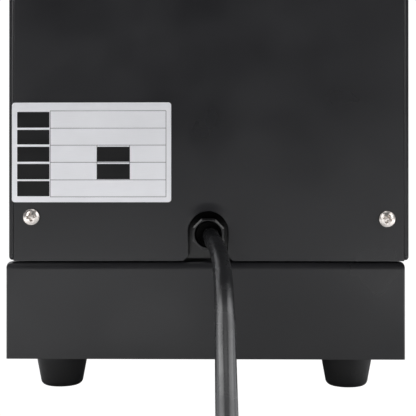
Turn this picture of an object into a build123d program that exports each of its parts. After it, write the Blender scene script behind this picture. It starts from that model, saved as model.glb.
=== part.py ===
from build123d import *
import os
from math import acos, atan, cos, pi, radians, sin, sqrt, tan

# A bench can seamer: a base box on rubber feet, a column with a head over the can, a chuck turned
# by a geared motor, a yoke that swings two seaming rollers against the chuck, and a hand lever
# whose barrel cam lifts the can table. Front is -Y, the cord leaves at the back, +Z is up, and
# the origin is on the floor under the middle of the base. All lengths are in millimetres.

# Base and feet
BASE_WIDTH = 200.0
BASE_DEPTH = 294.0
BASE_HEIGHT = 48.8
BASE_WALL = 1.5
BASE_TOP_BEND = 4.0
BASE_CORNER_BEND = 4.5
BASE_SIDE_SHIFT = 1.6
BASE_DOUBLER = 4.0
BASE_DOUBLER_MARGIN = 18.0
FOOT_HEIGHT = 17.2
FOOT_TOP_RADIUS = 12.5
FOOT_BOTTOM_RADIUS = 10.5
FOOT_EDGE_RADIUS = 3.0
FOOT_INSET = 25.0
FOOT_SIDE_SHIFT = 1.0
FOOT_RECESS_RADIUS = 5.5
FOOT_RECESS_DEPTH = 8.0
BOTTOM_PLATE_THICKNESS = 1.5
TAB_LENGTH = 18.0
TAB_REACH = 16.0
TAB_THICKNESS = 2.0
TAB_SPACING = 110.0

# Column and head housing
HOUSING_WIDTH = 200.0
HOUSING_GAP = 0.3
HOUSING_SETBACK = 0.0
COLUMN_DEPTH = 122.0
THROAT_DEPTH = 80.0
HEAD_OVERHANG = 65.0
HEAD_SKIRT = 10.0
PANEL_THICKNESS = 2.0
PANEL_LIFT = 1.0
COVER_THICKNESS = 1.5
COVER_EDGE_RADIUS = 0.4
PANEL_GAP = 0.3
HEAD_FRONT_BEND = 25.0
HEAD_REAR_BEND = 12.0
THROAT_BEND = 6.0
HEAD_UNDERSIDE_CUT = 40.0
PANEL_CORNER = 1.5
REAR_ANGLE_WIDTH = 15.0
REAR_ANGLE_THICKNESS = 2.0
REAR_ANGLE_SHORT = 6.0
FLANGE_DEPTH = 14.0
COVER_BEND = 2.0
SIDE_SCREW_FRONT = 30.0
SIDE_SCREW_MIDDLE = 60.0
SIDE_SCREW_REAR = 50.0
SIDE_SCREW_END = 40.0

# Rear cover, its cord notch, screws and rating plate
NOTCH_WIDTH = 20.0
NOTCH_HEIGHT = 25.0
NOTCH_CHAMFER = 2.5
COVER_SCREW_INSET = 8.5
COVER_SCREW_HEIGHT = 21.7
COVER_SCREW_ROWS = 3
PLATE_WIDTH = 80.0
PLATE_HEIGHT = 50.0
PLATE_THICKNESS = 0.6
PLATE_CORNER = 1.5
PLATE_SIDE_SPACE = 1.5
PLATE_CENTRE_HEIGHT = 54.5

# Inner frame
FRAME_SIDE_SPACE = 25.0
FRAME_SHEET = 4.0
FRAME_FRONT_SPACE = 15.0
FRAME_REAR_SPACE = 14.0
FRAME_LIP = 14.0
FRAME_END_PLATE = 6.0
BACK_PLATE_MARGIN = 15.0
BACK_PLATE_THICKNESS = 2.0
BACK_PLATE_LIFT = 1.0
BACK_PLATE_DROP = 12.0
BACK_PLATE_SCREW_RISE = 40.0
BACK_PLATE_SCREW_DROP = 20.0
HEAD_PLATE_THICKNESS = 10.0
HEAD_PLATE_FRONT_GAP = 10.0
BOLT_INSET_X = 20.0
BOLT_INSET_Y = 19.0

# Fasteners
M6_RADIUS = 3.0
M6_HEAD_RADIUS = 5.0
M6_HEAD_HEIGHT = 6.0
M6_LENGTH = 16.0
M6_KEY_ACROSS_FLATS = 5.0
M6_KEY_DEPTH = 3.0
M5_RADIUS = 2.5
M4_RADIUS = 2.0
M4_HEAD_RADIUS = 4.0
M4_HEAD_HEIGHT = 2.6
M4_LENGTH = 8.0
PAN_HEAD_SIDE = 1.3
PAN_HEAD_CROWN_RADIUS = 2.8
TAPPED_DEPTH = 12.0
BOLT_END_PLAY = 0.5
M5_HEAD_RADIUS = 4.5
M5_HEAD_HEIGHT = 3.2
M5_NUT_RADIUS = 4.0
M5_NUT_HEIGHT = 4.0
SCREW_CLEARANCE = 0.2
FIT = 0.03
RUNNING_FIT = 0.06

# Can lift: guide tube, cam sleeve, stem and table
CAN_HEIGHT = 162.0
CHUCK_ENTRY = 5.0
LIFT_TRAVEL = 12.0
LEVER_SWING = 90.0
STEM_RADIUS = 12.0
STEM_TAIL = 16.0
GUIDE_RADIUS = 20.0
GUIDE_FLANGE_RADIUS = 48.0
GUIDE_FLANGE_THICKNESS = 6.0
GUIDE_BOLT_CIRCLE = 40.0
SLEEVE_RADIUS = 28.0
SLEEVE_HEIGHT = 33.2
SLEEVE_LIFT = 0.3
SLEEVE_EDGE = 1.0
GUIDE_EDGE_RADIUS = 1.5
SLOT_WALL_BELOW = 5.5
CROSS_PIN_RADIUS = 4.0
CROSS_PIN_PLAY = 0.2
CROSS_PIN_RECESS = 0.5
RING_RADIUS = 24.0
RING_THICKNESS = 1.4
RING_GROOVE = 1.2
RING_PLAY = 0.1
RING_GAP = 8.0
STEM_FLANGE_RADIUS = 22.0
STEM_FLANGE_THICKNESS = 4.0
STEM_FLANGE_GAP = 2.0
THRUST_BEARING_HEIGHT = 4.0
THRUST_BEARING_RADIUS = 20.0
THRUST_GROOVE_HEIGHT = 1.2
THRUST_GROOVE_DEPTH = 1.2
TABLE_RADIUS = 38.0
TABLE_THICKNESS = 8.0
TABLE_JOURNAL_RADIUS = 8.0
TABLE_JOURNAL_LENGTH = 18.0
TABLE_RUNNING_GAP = 0.2
TABLE_RIM_WIDTH = 3.0
TABLE_UNDERCUT = 6.0
TABLE_BEVEL = 3.0
TABLE_EDGE = 0.8
PAD_THICKNESS = 4.0
PAD_RECESS = 3.0
PAD_PLAY = 0.2
PAD_EDGE = 0.6
LEVER_REACH = 112.0
LEVER_ABOVE_SLEEVE_BOTTOM = 18.3
LEVER_ROD_RADIUS = 5.0
LEVER_REST_ANGLE = 225.0
LEVER_BOSS_RADIUS = 9.0
LEVER_BOSS_REACH = 35.0
LEVER_BOSS_ROOT = 4.0
LEVER_ROD_SPACE = 3.0
BALL_KNOB_RADIUS = 14.0
BALL_KNOB_SEAT = 6.3
KNOB_TENON_RADIUS = 3.0
KNOB_TENON_LENGTH = 14.0

# Chuck, spindle and drive
CHUCK_RADIUS = 26.0
CHUCK_WALL_RADIUS = 24.8
CHUCK_LIP_HEIGHT = 5.0
CHUCK_HUB_RADIUS = 15.0
CHUCK_HEIGHT = 17.0
CHUCK_FACE_RECESS = 3.0
CHUCK_RIM_WIDTH = 5.0
CHUCK_EDGE = 0.6
CHUCK_TAPER = 0.3
CHUCK_FLANGE_HEIGHT = 5.0
CHUCK_BEVEL = 2.0
CHUCK_SCREW_HEAD = 2.6
SPINDLE_RADIUS = 10.0
SPINDLE_SHOULDER_RADIUS = 13.0
SPINDLE_END_PLAY = 0.3
BEARING_RADIUS = 23.5
BEARING_WIDTH = 14.0
BEARING_SHOULDER = 3.0
RACE_GROOVE_WIDTH = 5.0
RACE_GROOVE_DEPTH = 0.6
HOUSING_RADIUS = 28.0
HOUSING_FLANGE_RADIUS = 42.0
HOUSING_FLANGE_THICKNESS = 8.0
HOUSING_BOLT_CIRCLE = 35.0
HOUSING_LIP = 3.0
HOUSING_BELOW_PLATE = 25.0
HOUSING_ABOVE_PLATE = 25.0
HEAD_PLATE_ABOVE_CHUCK = 50.0
GEAR_MODULE = 1.5
GEAR_TEETH = 72
PINION_TEETH = 18
GEAR_FACE = 12.0
GEAR_BACKLASH = 0.16
GEAR_ABOVE_PLATE = 27.0
PRESSURE_ANGLE = 20.0
DEDENDUM_FACTOR = 1.25
INVOLUTE_START_FACTOR = 1.0005
PINION_HUB_WALL = 4.0
GEAR_HUB_RADIUS = 18.0
GEAR_HUB_HEIGHT = 3.0
GEAR_WEB = 6.0
GEAR_RIM_RADIUS = 47.0
GEAR_HOLES = 6
GEAR_HOLE_RADIUS = 8.0
SPINDLE_NUT_RADIUS = 15.0
SPINDLE_NUT_HEIGHT = 6.0
NUT_SLOT_COUNT = 4
NUT_SLOT_WIDTH = 4.0
MOTOR_SHAFT_RADIUS = 6.0
BRIDGE_ABOVE_GEAR = 10.0
BRIDGE_THICKNESS = 6.0
BRIDGE_WIDTH = 128.0
BRIDGE_DEPTH = 82.0
BRIDGE_CORNER = 8.0
PILLAR_RADIUS = 6.0
PILLAR_SPACING_X = 108.0
PILLAR_SPACING_Y = 62.0
GEARBOX_SIZE = 70.0
GEARBOX_HEIGHT = 42.0
GEARBOX_CORNER = 10.0
GEARBOX_BOSS_RADIUS = 18.0
MOTOR_RADIUS = 38.0
MOTOR_HEIGHT = 52.0
MOTOR_GROOVE_COUNT = 5
MOTOR_GROOVE_DEPTH = 2.0
MOTOR_GROOVE_PITCH = 6.4
MOTOR_END_BAND = 8.0
MOTOR_BELL_TAPER = 10.0
MOTOR_TOP_SPACE = 10.0

# Seaming yoke and rollers
PIVOT_DISTANCE = 60.0
PIVOT_RADIUS = 8.0
PIVOT_THREAD_RADIUS = 6.0
PIVOT_HEAD_RADIUS = 11.0
PIVOT_HEAD_HEIGHT = 5.0
PIVOT_BOSS_RADIUS = 16.0
ROLLER_RADIUS = 22.0
ROLLER_HEIGHT = 14.0
ROLLER_GAP = 8.0
ROLLER_BELOW_CHUCK = 0.5
ROLLER_PIN_RADIUS = 6.0
ROLLER_PIN_HEAD_RADIUS = 9.0
ROLLER_PIN_HEAD_HEIGHT = 4.8
ROLLER_END_PLAY = 0.2
RETAINER_HEIGHT = 4.4
RETAINER_WASHER = 2.0
ROLLER_BOSS_RADIUS = 14.0
ROLLER_SPACER_RADIUS = 9.0
ROLLER_SPACER_HEIGHT = 7.5
FIRST_GROOVE_DEPTH = 3.0
FIRST_GROOVE_RADIUS = 2.2
SECOND_GROOVE_DEPTH = 1.6
SECOND_GROOVE_RADIUS = 3.0
GROOVE_HEIGHT = 6.3
ROLLER_CHAMFER = 1.2
ROLLER_SHOULDER = 4.0
ROLLER_TOP_BEVEL = 5.0
ROLLER_STEP = 2.0
YOKE_THICKNESS = 12.0
YOKE_OPENING_RADIUS = 38.0
YOKE_FRONT_DISTANCE = 44.0
YOKE_FRONT_RADIUS = 12.0
YOKE_TOP_GAP = 0.6
HANDLE_ROD_RADIUS = 5.0
HANDLE_REACH = 81.0
HANDLE_END_SPACE = 4.0

# Front controls
CONTROL_SIDE_SPACE = 25.0
CONTROL_HEIGHT = 90.0
CONTROL_THICKNESS = 3.0
CONTROL_CORNER = 6.0
CONTROL_ABOVE_SKIRT = 40.0
CONTROL_WINDOW_MARGIN = 8.0
CONTROL_END_SPACE = 21.0
CONTROL_COUNT = 4
BUTTON_RADIUS = 9.0
BUTTON_PROUD = 6.0
BUTTON_SKIRT = 4.0
BUTTON_STEM_LENGTH = 10.0
BUTTON_EDGE = 1.5
KNOB_RADIUS = 14.0
KNOB_HEIGHT = 15.0
KNOB_SHAFT_RADIUS = 3.5
KNOB_SHAFT_LENGTH = 8.0
KNOB_GAP = 0.3
KNOB_TAPER = 1.5
KNOB_EDGE = 1.0
KNOB_FLUTE_COUNT = 12
KNOB_FLUTE_RADIUS = 2.2
KNOB_FLUTE_OFFSET = 1.2
KNOB_SKIRT = 3.0
ROCKER_WIDTH = 12.4
ROCKER_HEIGHT = 18.4
ROCKER_TILT = 8.0
ROCKER_LIFT = 1.2
ROCKER_BACK = 5.0
BEZEL_RIM = 2.5
BEZEL_PROUD = 1.5
CONTROL_PLAY = 0.3
LAMP_RADIUS = 5.0
LAMP_PROUD = 2.0
BOARD_SIDE_SPACE = 20.0
BOARD_HEIGHT = 80.0
BOARD_THICKNESS = 1.6
BOARD_STANDOFF = 8.0
BOARD_STANDOFF_RADIUS = 3.0
BOARD_MARGIN = 5.0
CAPACITOR_RADIUS = 7.0
CAPACITOR_HEIGHT = 20.0
CAPACITOR_X = 8.0
CAPACITOR_PLACES = (-5.0, 18.0)
# The transformer, the terminal block and the heat sink: left, right, height, low and high
BOARD_BLOCKS = ((-45.0, -10.0, 28.0, -25.0, 15.0), (5.0, 45.0, 12.0, -32.0, -20.0),
                (20.0, 24.0, 25.0, -10.0, 30.0))

# Strain relief, cord and plug
BUSHING_RADIUS = 8.0
BUSHING_HEAD_LENGTH = 9.0
BUSHING_MOUTH_RADIUS = 6.3
BUSHING_MOUTH_DEPTH = 5.0
BUSHING_HEIGHT = 13.4
BUSHING_NECK_RADIUS = 6.0
BUSHING_EDGE_RADIUS = 1.0
BUSHING_COLLAR = 4.0
CORD_RADIUS = 4.1
COIL_MEAN_RADIUS = 49.0
COIL_LAYERS = 2
COIL_CENTRE_Y = 405.0
COIL_STUB = 30.0
COIL_STUB_INSET = 0.1
COIL_EDGE_SHARE = 0.7
ARC_SHARE = 0.45
PLUG_LENGTH = 36.0
PLUG_WIDTH = 25.0
PLUG_THICKNESS = 20.0
PLUG_CORNER = 5.0
PLUG_EDGE = 3.0
PLUG_RELIEF_LENGTH = 24.0
PLUG_RELIEF_WALL = 0.8
PLUG_RELIEF_RADIUS = 8.0
BLADE_LENGTH = 15.0
BLADE_WIDTH = 6.3
BLADE_THICKNESS = 1.5
BLADE_OFFSET = -2.0
BLADE_HALF_PITCH = 6.35
EARTH_PIN_RADIUS = 2.4
EARTH_PIN_OFFSET = 5.0
EARTH_PIN_EXTRA = 2.0

# Places worked out from the sizes above
BASE_REAR = BASE_DEPTH / 2
FOOT_SPACING_X = BASE_WIDTH - 2 * FOOT_INSET
FOOT_SPACING_Y = BASE_DEPTH - 2 * FOOT_INSET
BASE_TOP = FOOT_HEIGHT + BASE_HEIGHT
BASE_X0 = BASE_SIDE_SHIFT - BASE_WIDTH / 2
BASE_X1 = BASE_SIDE_SHIFT + BASE_WIDTH / 2
HOUSING_BOTTOM = BASE_TOP + HOUSING_GAP
HOUSING_REAR = BASE_REAR - HOUSING_SETBACK
COLUMN_FRONT = HOUSING_REAR - COLUMN_DEPTH
AXIS_Y = COLUMN_FRONT - THROAT_DEPTH
HEAD_FRONT = AXIS_Y - HEAD_OVERHANG
PANEL_INSIDE = HOUSING_WIDTH / 2 - PANEL_THICKNESS
COVER_HALF = PANEL_INSIDE - PANEL_GAP
BACK_OF_COVER = HOUSING_REAR - COVER_THICKNESS
PLATE_CENTRE_X = HOUSING_WIDTH / 2 - PLATE_SIDE_SPACE - PLATE_WIDTH / 2
FRAME_WIDTH = HOUSING_WIDTH - 2 * FRAME_SIDE_SPACE
BACK_PLATE_WIDTH = FRAME_WIDTH + 2 * BACK_PLATE_MARGIN
FRAME_DEPTH = COLUMN_DEPTH - FRAME_FRONT_SPACE - FRAME_REAR_SPACE
BOLT_SPACING_X = FRAME_WIDTH - 2 * BOLT_INSET_X
BOLT_SPACING_Y = FRAME_DEPTH - 2 * BOLT_INSET_Y
BOARD_WIDTH = FRAME_WIDTH - 2 * BOARD_SIDE_SPACE
CONTROL_WIDTH = HOUSING_WIDTH - 2 * CONTROL_SIDE_SPACE
CONTROL_PITCH = (CONTROL_WIDTH - 2 * CONTROL_END_SPACE) / (CONTROL_COUNT - 1)

FLANGE_TOP = BASE_TOP + GUIDE_FLANGE_THICKNESS
SLEEVE_BOTTOM = FLANGE_TOP + SLEEVE_LIFT
SLEEVE_TOP = SLEEVE_BOTTOM + SLEEVE_HEIGHT
PIN_HEIGHT = SLEEVE_BOTTOM + SLOT_WALL_BELOW + CROSS_PIN_RADIUS + CROSS_PIN_PLAY
LEVER_HEIGHT = SLEEVE_BOTTOM + LEVER_ABOVE_SLEEVE_BOTTOM
RING_BOTTOM = SLEEVE_TOP + SLEEVE_LIFT
GUIDE_TOP = RING_BOTTOM + RING_THICKNESS + RING_GROOVE
STEM_FLANGE_BOTTOM = GUIDE_TOP + STEM_FLANGE_GAP
STEM_TOP = STEM_FLANGE_BOTTOM + STEM_FLANGE_THICKNESS
BEARING_TOP = STEM_TOP + THRUST_BEARING_HEIGHT
TABLE_BOTTOM = BEARING_TOP + TABLE_RUNNING_GAP
TABLE_RIM = TABLE_BOTTOM + TABLE_THICKNESS
PAD_BOTTOM = TABLE_RIM - PAD_RECESS
TABLE_TOP = PAD_BOTTOM + PAD_THICKNESS
LIFT_PITCH = LIFT_TRAVEL * 360 / LEVER_SWING

CHUCK_BOTTOM = TABLE_TOP + LIFT_TRAVEL + CAN_HEIGHT - CHUCK_ENTRY
CHUCK_TOP = CHUCK_BOTTOM + CHUCK_HEIGHT
HEAD_PLATE_BOTTOM = CHUCK_BOTTOM + HEAD_PLATE_ABOVE_CHUCK
HEAD_PLATE_TOP = HEAD_PLATE_BOTTOM + HEAD_PLATE_THICKNESS
HEAD_BOTTOM = HEAD_PLATE_BOTTOM - HEAD_SKIRT
HEAD_PLATE_FRONT = HEAD_FRONT + HEAD_PLATE_FRONT_GAP
SPINDLE_HOUSING_BOTTOM = HEAD_PLATE_BOTTOM - HOUSING_BELOW_PLATE
SPINDLE_HOUSING_TOP = HEAD_PLATE_TOP + HOUSING_ABOVE_PLATE
LOWER_BEARING = SPINDLE_HOUSING_BOTTOM + HOUSING_LIP
UPPER_BEARING = SPINDLE_HOUSING_TOP - HOUSING_LIP - BEARING_WIDTH
GEAR_BOTTOM = HEAD_PLATE_TOP + GEAR_ABOVE_PLATE
GEAR_TOP = GEAR_BOTTOM + GEAR_FACE
GEAR_DISTANCE = GEAR_MODULE * (GEAR_TEETH + PINION_TEETH) / 2
MOTOR_Y = AXIS_Y + GEAR_DISTANCE
BRIDGE_BOTTOM = GEAR_TOP + BRIDGE_ABOVE_GEAR
BRIDGE_TOP = BRIDGE_BOTTOM + BRIDGE_THICKNESS
GEARBOX_TOP = BRIDGE_TOP + GEARBOX_HEIGHT
MOTOR_TOP = GEARBOX_TOP + MOTOR_HEIGHT
HEAD_TOP = MOTOR_TOP + MOTOR_TOP_SPACE + COVER_THICKNESS
NUT_TOP = GEAR_TOP + SPINDLE_NUT_HEIGHT

PIVOT_Y = AXIS_Y + PIVOT_DISTANCE
ROLLER_X = CHUCK_RADIUS + ROLLER_GAP + ROLLER_RADIUS
ROLLER_BOTTOM = CHUCK_BOTTOM - ROLLER_BELOW_CHUCK
ROLLER_TOP = ROLLER_BOTTOM + ROLLER_HEIGHT
YOKE_BOTTOM = ROLLER_TOP + CONTROL_PLAY + ROLLER_SPACER_HEIGHT
YOKE_TOP = YOKE_BOTTOM + YOKE_THICKNESS
YOKE_FRONT_Y = AXIS_Y - YOKE_FRONT_DISTANCE
HANDLE_HEIGHT = (YOKE_BOTTOM + YOKE_TOP) / 2
HANDLE_SEAT_Y = AXIS_Y - HANDLE_REACH + sqrt(BALL_KNOB_RADIUS**2 - BALL_KNOB_SEAT**2)

FRAME_FRONT = COLUMN_FRONT + FRAME_FRONT_SPACE
FRAME_REAR = FRAME_FRONT + FRAME_DEPTH
FRAME_CENTRE_Y = FRAME_FRONT + FRAME_DEPTH / 2
BACK_PLATE_REAR = FRAME_REAR + BACK_PLATE_THICKNESS
BACK_PLATE_BOTTOM = HOUSING_BOTTOM + BACK_PLATE_LIFT
BACK_PLATE_TOP = HEAD_PLATE_BOTTOM - BACK_PLATE_DROP

CONTROL_BOTTOM = HEAD_BOTTOM + CONTROL_ABOVE_SKIRT
CONTROL_CENTRE = CONTROL_BOTTOM + CONTROL_HEIGHT / 2
CONTROL_FACE = HEAD_FRONT - CONTROL_THICKNESS

BUSHING_Z = HOUSING_BOTTOM + BUSHING_HEIGHT
COIL_RADIUS = COIL_MEAN_RADIUS + CORD_RADIUS
COIL_HEIGHT = 2 * CORD_RADIUS * COIL_LAYERS

# The cord's route from the strain relief to the floor and on to the coil
CORD_START_Y = BACK_PLATE_REAR + BUSHING_HEAD_LENGTH - BUSHING_MOUTH_DEPTH
CORD_ROUTE = [
    (-1.4, CORD_START_Y, 79.0),
    (-1.4, 156.0, 79.0),
    (-7.4, 192.0, 72.8),
    (-8.6, 231.0, 59.4),
    (-8.3, 268.0, 28.5),
    (-8.8, 308.0, CORD_RADIUS),
    (-8.8, 375.0, CORD_RADIUS),
]
COIL_EXIT_X = CORD_ROUTE[-1][0] - 2 * COIL_RADIUS
PLUG_ROUTE = [
    (COIL_EXIT_X, 375.0, CORD_RADIUS),
    (COIL_EXIT_X, 345.0, CORD_RADIUS),
    (COIL_EXIT_X - 7, 314.0, 10.0),
    (COIL_EXIT_X - 17, 290.0, 10.0),
]


def block(x0, x1, y0, y1, z0, z1):
    """A box between two opposite corners."""
    centre = Pos((x0 + x1) / 2, (y0 + y1) / 2, (z0 + z1) / 2)
    return centre * Box(x1 - x0, y1 - y0, z1 - z0)


def post(x, y, z0, z1, radius):
    """An upright cylinder."""
    return Pos(x, y, (z0 + z1) / 2) * Cylinder(radius, z1 - z0)


def pipe(x, y, z0, z1, outer, inner):
    """An upright tube."""
    return post(x, y, z0, z1, outer) - post(x, y, z0 - 1, z1 + 1, inner)


def rod_x(x0, x1, y, z, radius):
    """A cylinder along X."""
    return Pos((x0 + x1) / 2, y, z) * Rot(0, 90, 0) * Cylinder(radius, abs(x1 - x0))


def rod_y(x, y0, y1, z, radius):
    """A cylinder along Y."""
    return Pos(x, (y0 + y1) / 2, z) * Rot(90, 0, 0) * Cylinder(radius, abs(y1 - y0))


def turned(points):
    """A solid of revolution about Z from (radius, height) points."""
    outline = Polyline(*[(radius, 0, height) for radius, height in points], close=True)
    return revolve(make_face(outline), axis=Axis.Z)


def edges_along(solid, axis):
    """The straight edges of a solid along an axis."""
    return solid.edges().filter_by(GeomType.LINE).filter_by(axis)


def ball_knob():
    """A ball knob on +Z with a flat seat at the origin and a screwed bore."""
    radius = BALL_KNOB_RADIUS
    ball = Pos(0, 0, knob_centre()) * Sphere(radius)
    ball = ball & Pos(0, 0, radius * 2) * Box(radius * 4, radius * 4, radius * 4)
    return ball - post(0, 0, -1, KNOB_TENON_LENGTH + 1, KNOB_TENON_RADIUS + FIT)


def knob_centre():
    """The distance from a ball knob's flat seat to its middle."""
    return sqrt(BALL_KNOB_RADIUS**2 - BALL_KNOB_SEAT**2)


def cap_screw(x, y, seat):
    """An M6 socket-head screw that points down from its seat."""
    head = post(x, y, seat, seat + M6_HEAD_HEIGHT, M6_HEAD_RADIUS)
    shank = post(x, y, seat - M6_LENGTH, seat, M6_RADIUS)
    key = RegularPolygon(M6_KEY_ACROSS_FLATS / 2, 6, major_radius=False)
    socket = extrude(Pos(x, y, seat + M6_HEAD_HEIGHT - M6_KEY_DEPTH) * key, M6_KEY_DEPTH)
    return head + shank - socket


def pan_screw():
    """An M4 pan-head screw with its head on +Z of the origin."""
    head = turned([(0, 0), (M4_HEAD_RADIUS, 0), (M4_HEAD_RADIUS, PAN_HEAD_SIDE),
                   (PAN_HEAD_CROWN_RADIUS, M4_HEAD_HEIGHT), (0, M4_HEAD_HEIGHT)])
    return head + post(0, 0, -M4_LENGTH, 0, M4_RADIUS)


def bolt_square(centre_x, centre_y, spacing_x, spacing_y):
    """The four corners of a bolt rectangle."""
    return [(centre_x + sx * spacing_x / 2, centre_y + sy * spacing_y / 2)
            for sx in (-1, 1) for sy in (-1, 1)]


def foot_places():
    """The middles of the four feet."""
    return bolt_square(BASE_SIDE_SHIFT + FOOT_SIDE_SHIFT, 0, FOOT_SPACING_X, FOOT_SPACING_Y)


def tab_places():
    """The middles of the welded tabs along the base's two long walls."""
    reach = BASE_WIDTH / 2 - BASE_WALL - TAB_REACH / 2
    return [(BASE_SIDE_SHIFT + side * reach, row * TAB_SPACING / 2, side)
            for side in (-1, 1) for row in (-1, 1)]


def guide_bolts():
    """The bolt circle of the lift guide's flange."""
    reach = GUIDE_BOLT_CIRCLE / sqrt(2)
    return bolt_square(0, AXIS_Y, 2 * reach, 2 * reach)


def frame_bolts():
    """The bolts through the column frame's end plates."""
    return bolt_square(0, FRAME_CENTRE_Y, BOLT_SPACING_X, BOLT_SPACING_Y)


def housing_bolts():
    """The bolt circle of the spindle housing's flange."""
    reach = HOUSING_BOLT_CIRCLE / sqrt(2)
    return bolt_square(0, AXIS_Y, 2 * reach, 2 * reach)


def pillar_places():
    """The middles of the pillars that carry the motor."""
    return bolt_square(0, MOTOR_Y, PILLAR_SPACING_X, PILLAR_SPACING_Y)


def cover_screw_places():
    """The rear cover's screws, as (x, z)."""
    first = HOUSING_BOTTOM + COVER_SCREW_HEIGHT
    last = rear_cover_top() - COVER_SCREW_HEIGHT
    step = (last - first) / (COVER_SCREW_ROWS - 1)
    reach = COVER_HALF - COVER_SCREW_INSET
    return [(side * reach, first + row * step) for side in (-1, 1)
            for row in range(COVER_SCREW_ROWS)]


def side_screw_places():
    """The side panels' screws, as (y, z): head plate, head cover and column cover."""
    plate = HEAD_PLATE_BOTTOM + HEAD_PLATE_THICKNESS / 2
    flange = HEAD_TOP - COVER_THICKNESS - FLANGE_DEPTH / 2
    column = COLUMN_FRONT + COVER_THICKNESS + FLANGE_DEPTH / 2
    return [(HEAD_FRONT + SIDE_SCREW_FRONT, plate), (COLUMN_FRONT, plate),
            (HEAD_FRONT + SIDE_SCREW_MIDDLE, flange), (HOUSING_REAR - SIDE_SCREW_REAR, flange),
            (column, HOUSING_BOTTOM + SIDE_SCREW_END), (column, HEAD_BOTTOM - SIDE_SCREW_END)]


def rear_cover_top():
    """The height where the rear cover ends under the head cover's rear bend."""
    return HEAD_TOP - HEAD_REAR_BEND - PANEL_GAP


def base_shell():
    """The folded base box, open below, with its doubler, tabs and holes."""
    outer = block(BASE_X0, BASE_X1, -BASE_REAR, BASE_REAR, FOOT_HEIGHT, BASE_TOP)
    outer = fillet(edges_along(outer, Axis.Z), BASE_CORNER_BEND)
    outer = fillet(outer.faces().sort_by(Axis.Z)[-1].edges(), BASE_TOP_BEND)
    inner = block(BASE_X0 + BASE_WALL, BASE_X1 - BASE_WALL, BASE_WALL - BASE_REAR,
                  BASE_REAR - BASE_WALL, FOOT_HEIGHT - 1, BASE_TOP - BASE_WALL)
    inner = fillet(edges_along(inner, Axis.Z), BASE_CORNER_BEND - BASE_WALL)
    inner = fillet(inner.faces().sort_by(Axis.Z)[-1].edges(), BASE_TOP_BEND - BASE_WALL)
    shell = outer - inner
    margin = BASE_DOUBLER_MARGIN
    under = BASE_TOP - BASE_WALL
    shell += block(BASE_X0 + margin, BASE_X1 - margin, margin - BASE_REAR, BASE_REAR - margin,
                   under - BASE_DOUBLER, under)
    seat = FOOT_HEIGHT + BOTTOM_PLATE_THICKNESS
    for x, y, side in tab_places():
        reach = TAB_REACH / 2 + BASE_WALL / 2
        shell += block(x - reach + side * BASE_WALL / 2, x + reach + side * BASE_WALL / 2,
                       y - TAB_LENGTH / 2, y + TAB_LENGTH / 2, seat, seat + TAB_THICKNESS)
        shell -= post(x, y, seat - 1, seat + TAB_THICKNESS + 1, M4_RADIUS + FIT)
    for x, y in guide_bolts() + frame_bolts():
        shell -= post(x, y, under - BASE_DOUBLER - 1, BASE_TOP + 1, M6_RADIUS + FIT)
    return shell - post(0, AXIS_Y, under - BASE_DOUBLER - 1, BASE_TOP + 1, STEM_RADIUS + 2)


def bottom_plate():
    """The plate that closes the base from below and carries the feet."""
    gap = BASE_WALL + PANEL_GAP
    plate = block(BASE_X0 + gap, BASE_X1 - gap, gap - BASE_REAR, BASE_REAR - gap, FOOT_HEIGHT,
                  FOOT_HEIGHT + BOTTOM_PLATE_THICKNESS)
    plate = fillet(edges_along(plate, Axis.Z), BASE_CORNER_BEND)
    for x, y in foot_places():
        plate -= post(x, y, 0, BASE_TOP, M5_RADIUS + SCREW_CLEARANCE)
    for x, y, _ in tab_places():
        plate -= post(x, y, 0, BASE_TOP, M4_RADIUS + SCREW_CLEARANCE)
    return plate


def bottom_plate_screws():
    """The screws that hold the bottom plate to the base's tabs."""
    return [Pos(x, y, FOOT_HEIGHT) * Rot(180, 0, 0) * pan_screw() for x, y, _ in tab_places()]


def rubber_feet():
    """Four tapered rubber feet with a rounded lower edge and a screw recess."""
    foot = turned([(0, 0), (FOOT_BOTTOM_RADIUS, 0), (FOOT_TOP_RADIUS, FOOT_HEIGHT),
                   (0, FOOT_HEIGHT)])
    foot = fillet(foot.edges().filter_by(GeomType.CIRCLE).sort_by(Axis.Z)[0], FOOT_EDGE_RADIUS)
    foot -= post(0, 0, -1, FOOT_RECESS_DEPTH, FOOT_RECESS_RADIUS)
    foot -= post(0, 0, -1, FOOT_HEIGHT + 1, M5_RADIUS + SCREW_CLEARANCE)
    return [Pos(x, y, 0) * foot for x, y in foot_places()]


def foot_screws():
    """A pan-head screw up through each foot, with a hexagon nut on the bottom plate."""
    nut_seat = FOOT_HEIGHT + BOTTOM_PLATE_THICKNESS
    solids = []
    for x, y in foot_places():
        head = post(x, y, FOOT_RECESS_DEPTH - M5_HEAD_HEIGHT, FOOT_RECESS_DEPTH, M5_HEAD_RADIUS)
        shank = post(x, y, FOOT_RECESS_DEPTH, nut_seat + M5_NUT_HEIGHT + 1, M5_RADIUS)
        hexagon = Pos(x, y, nut_seat) * RegularPolygon(M5_NUT_RADIUS, 6, major_radius=False)
        nut = extrude(hexagon, M5_NUT_HEIGHT) - post(x, y, 0, BASE_TOP, M5_RADIUS + FIT)
        solids += [head + shank, nut]
    return solids


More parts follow.
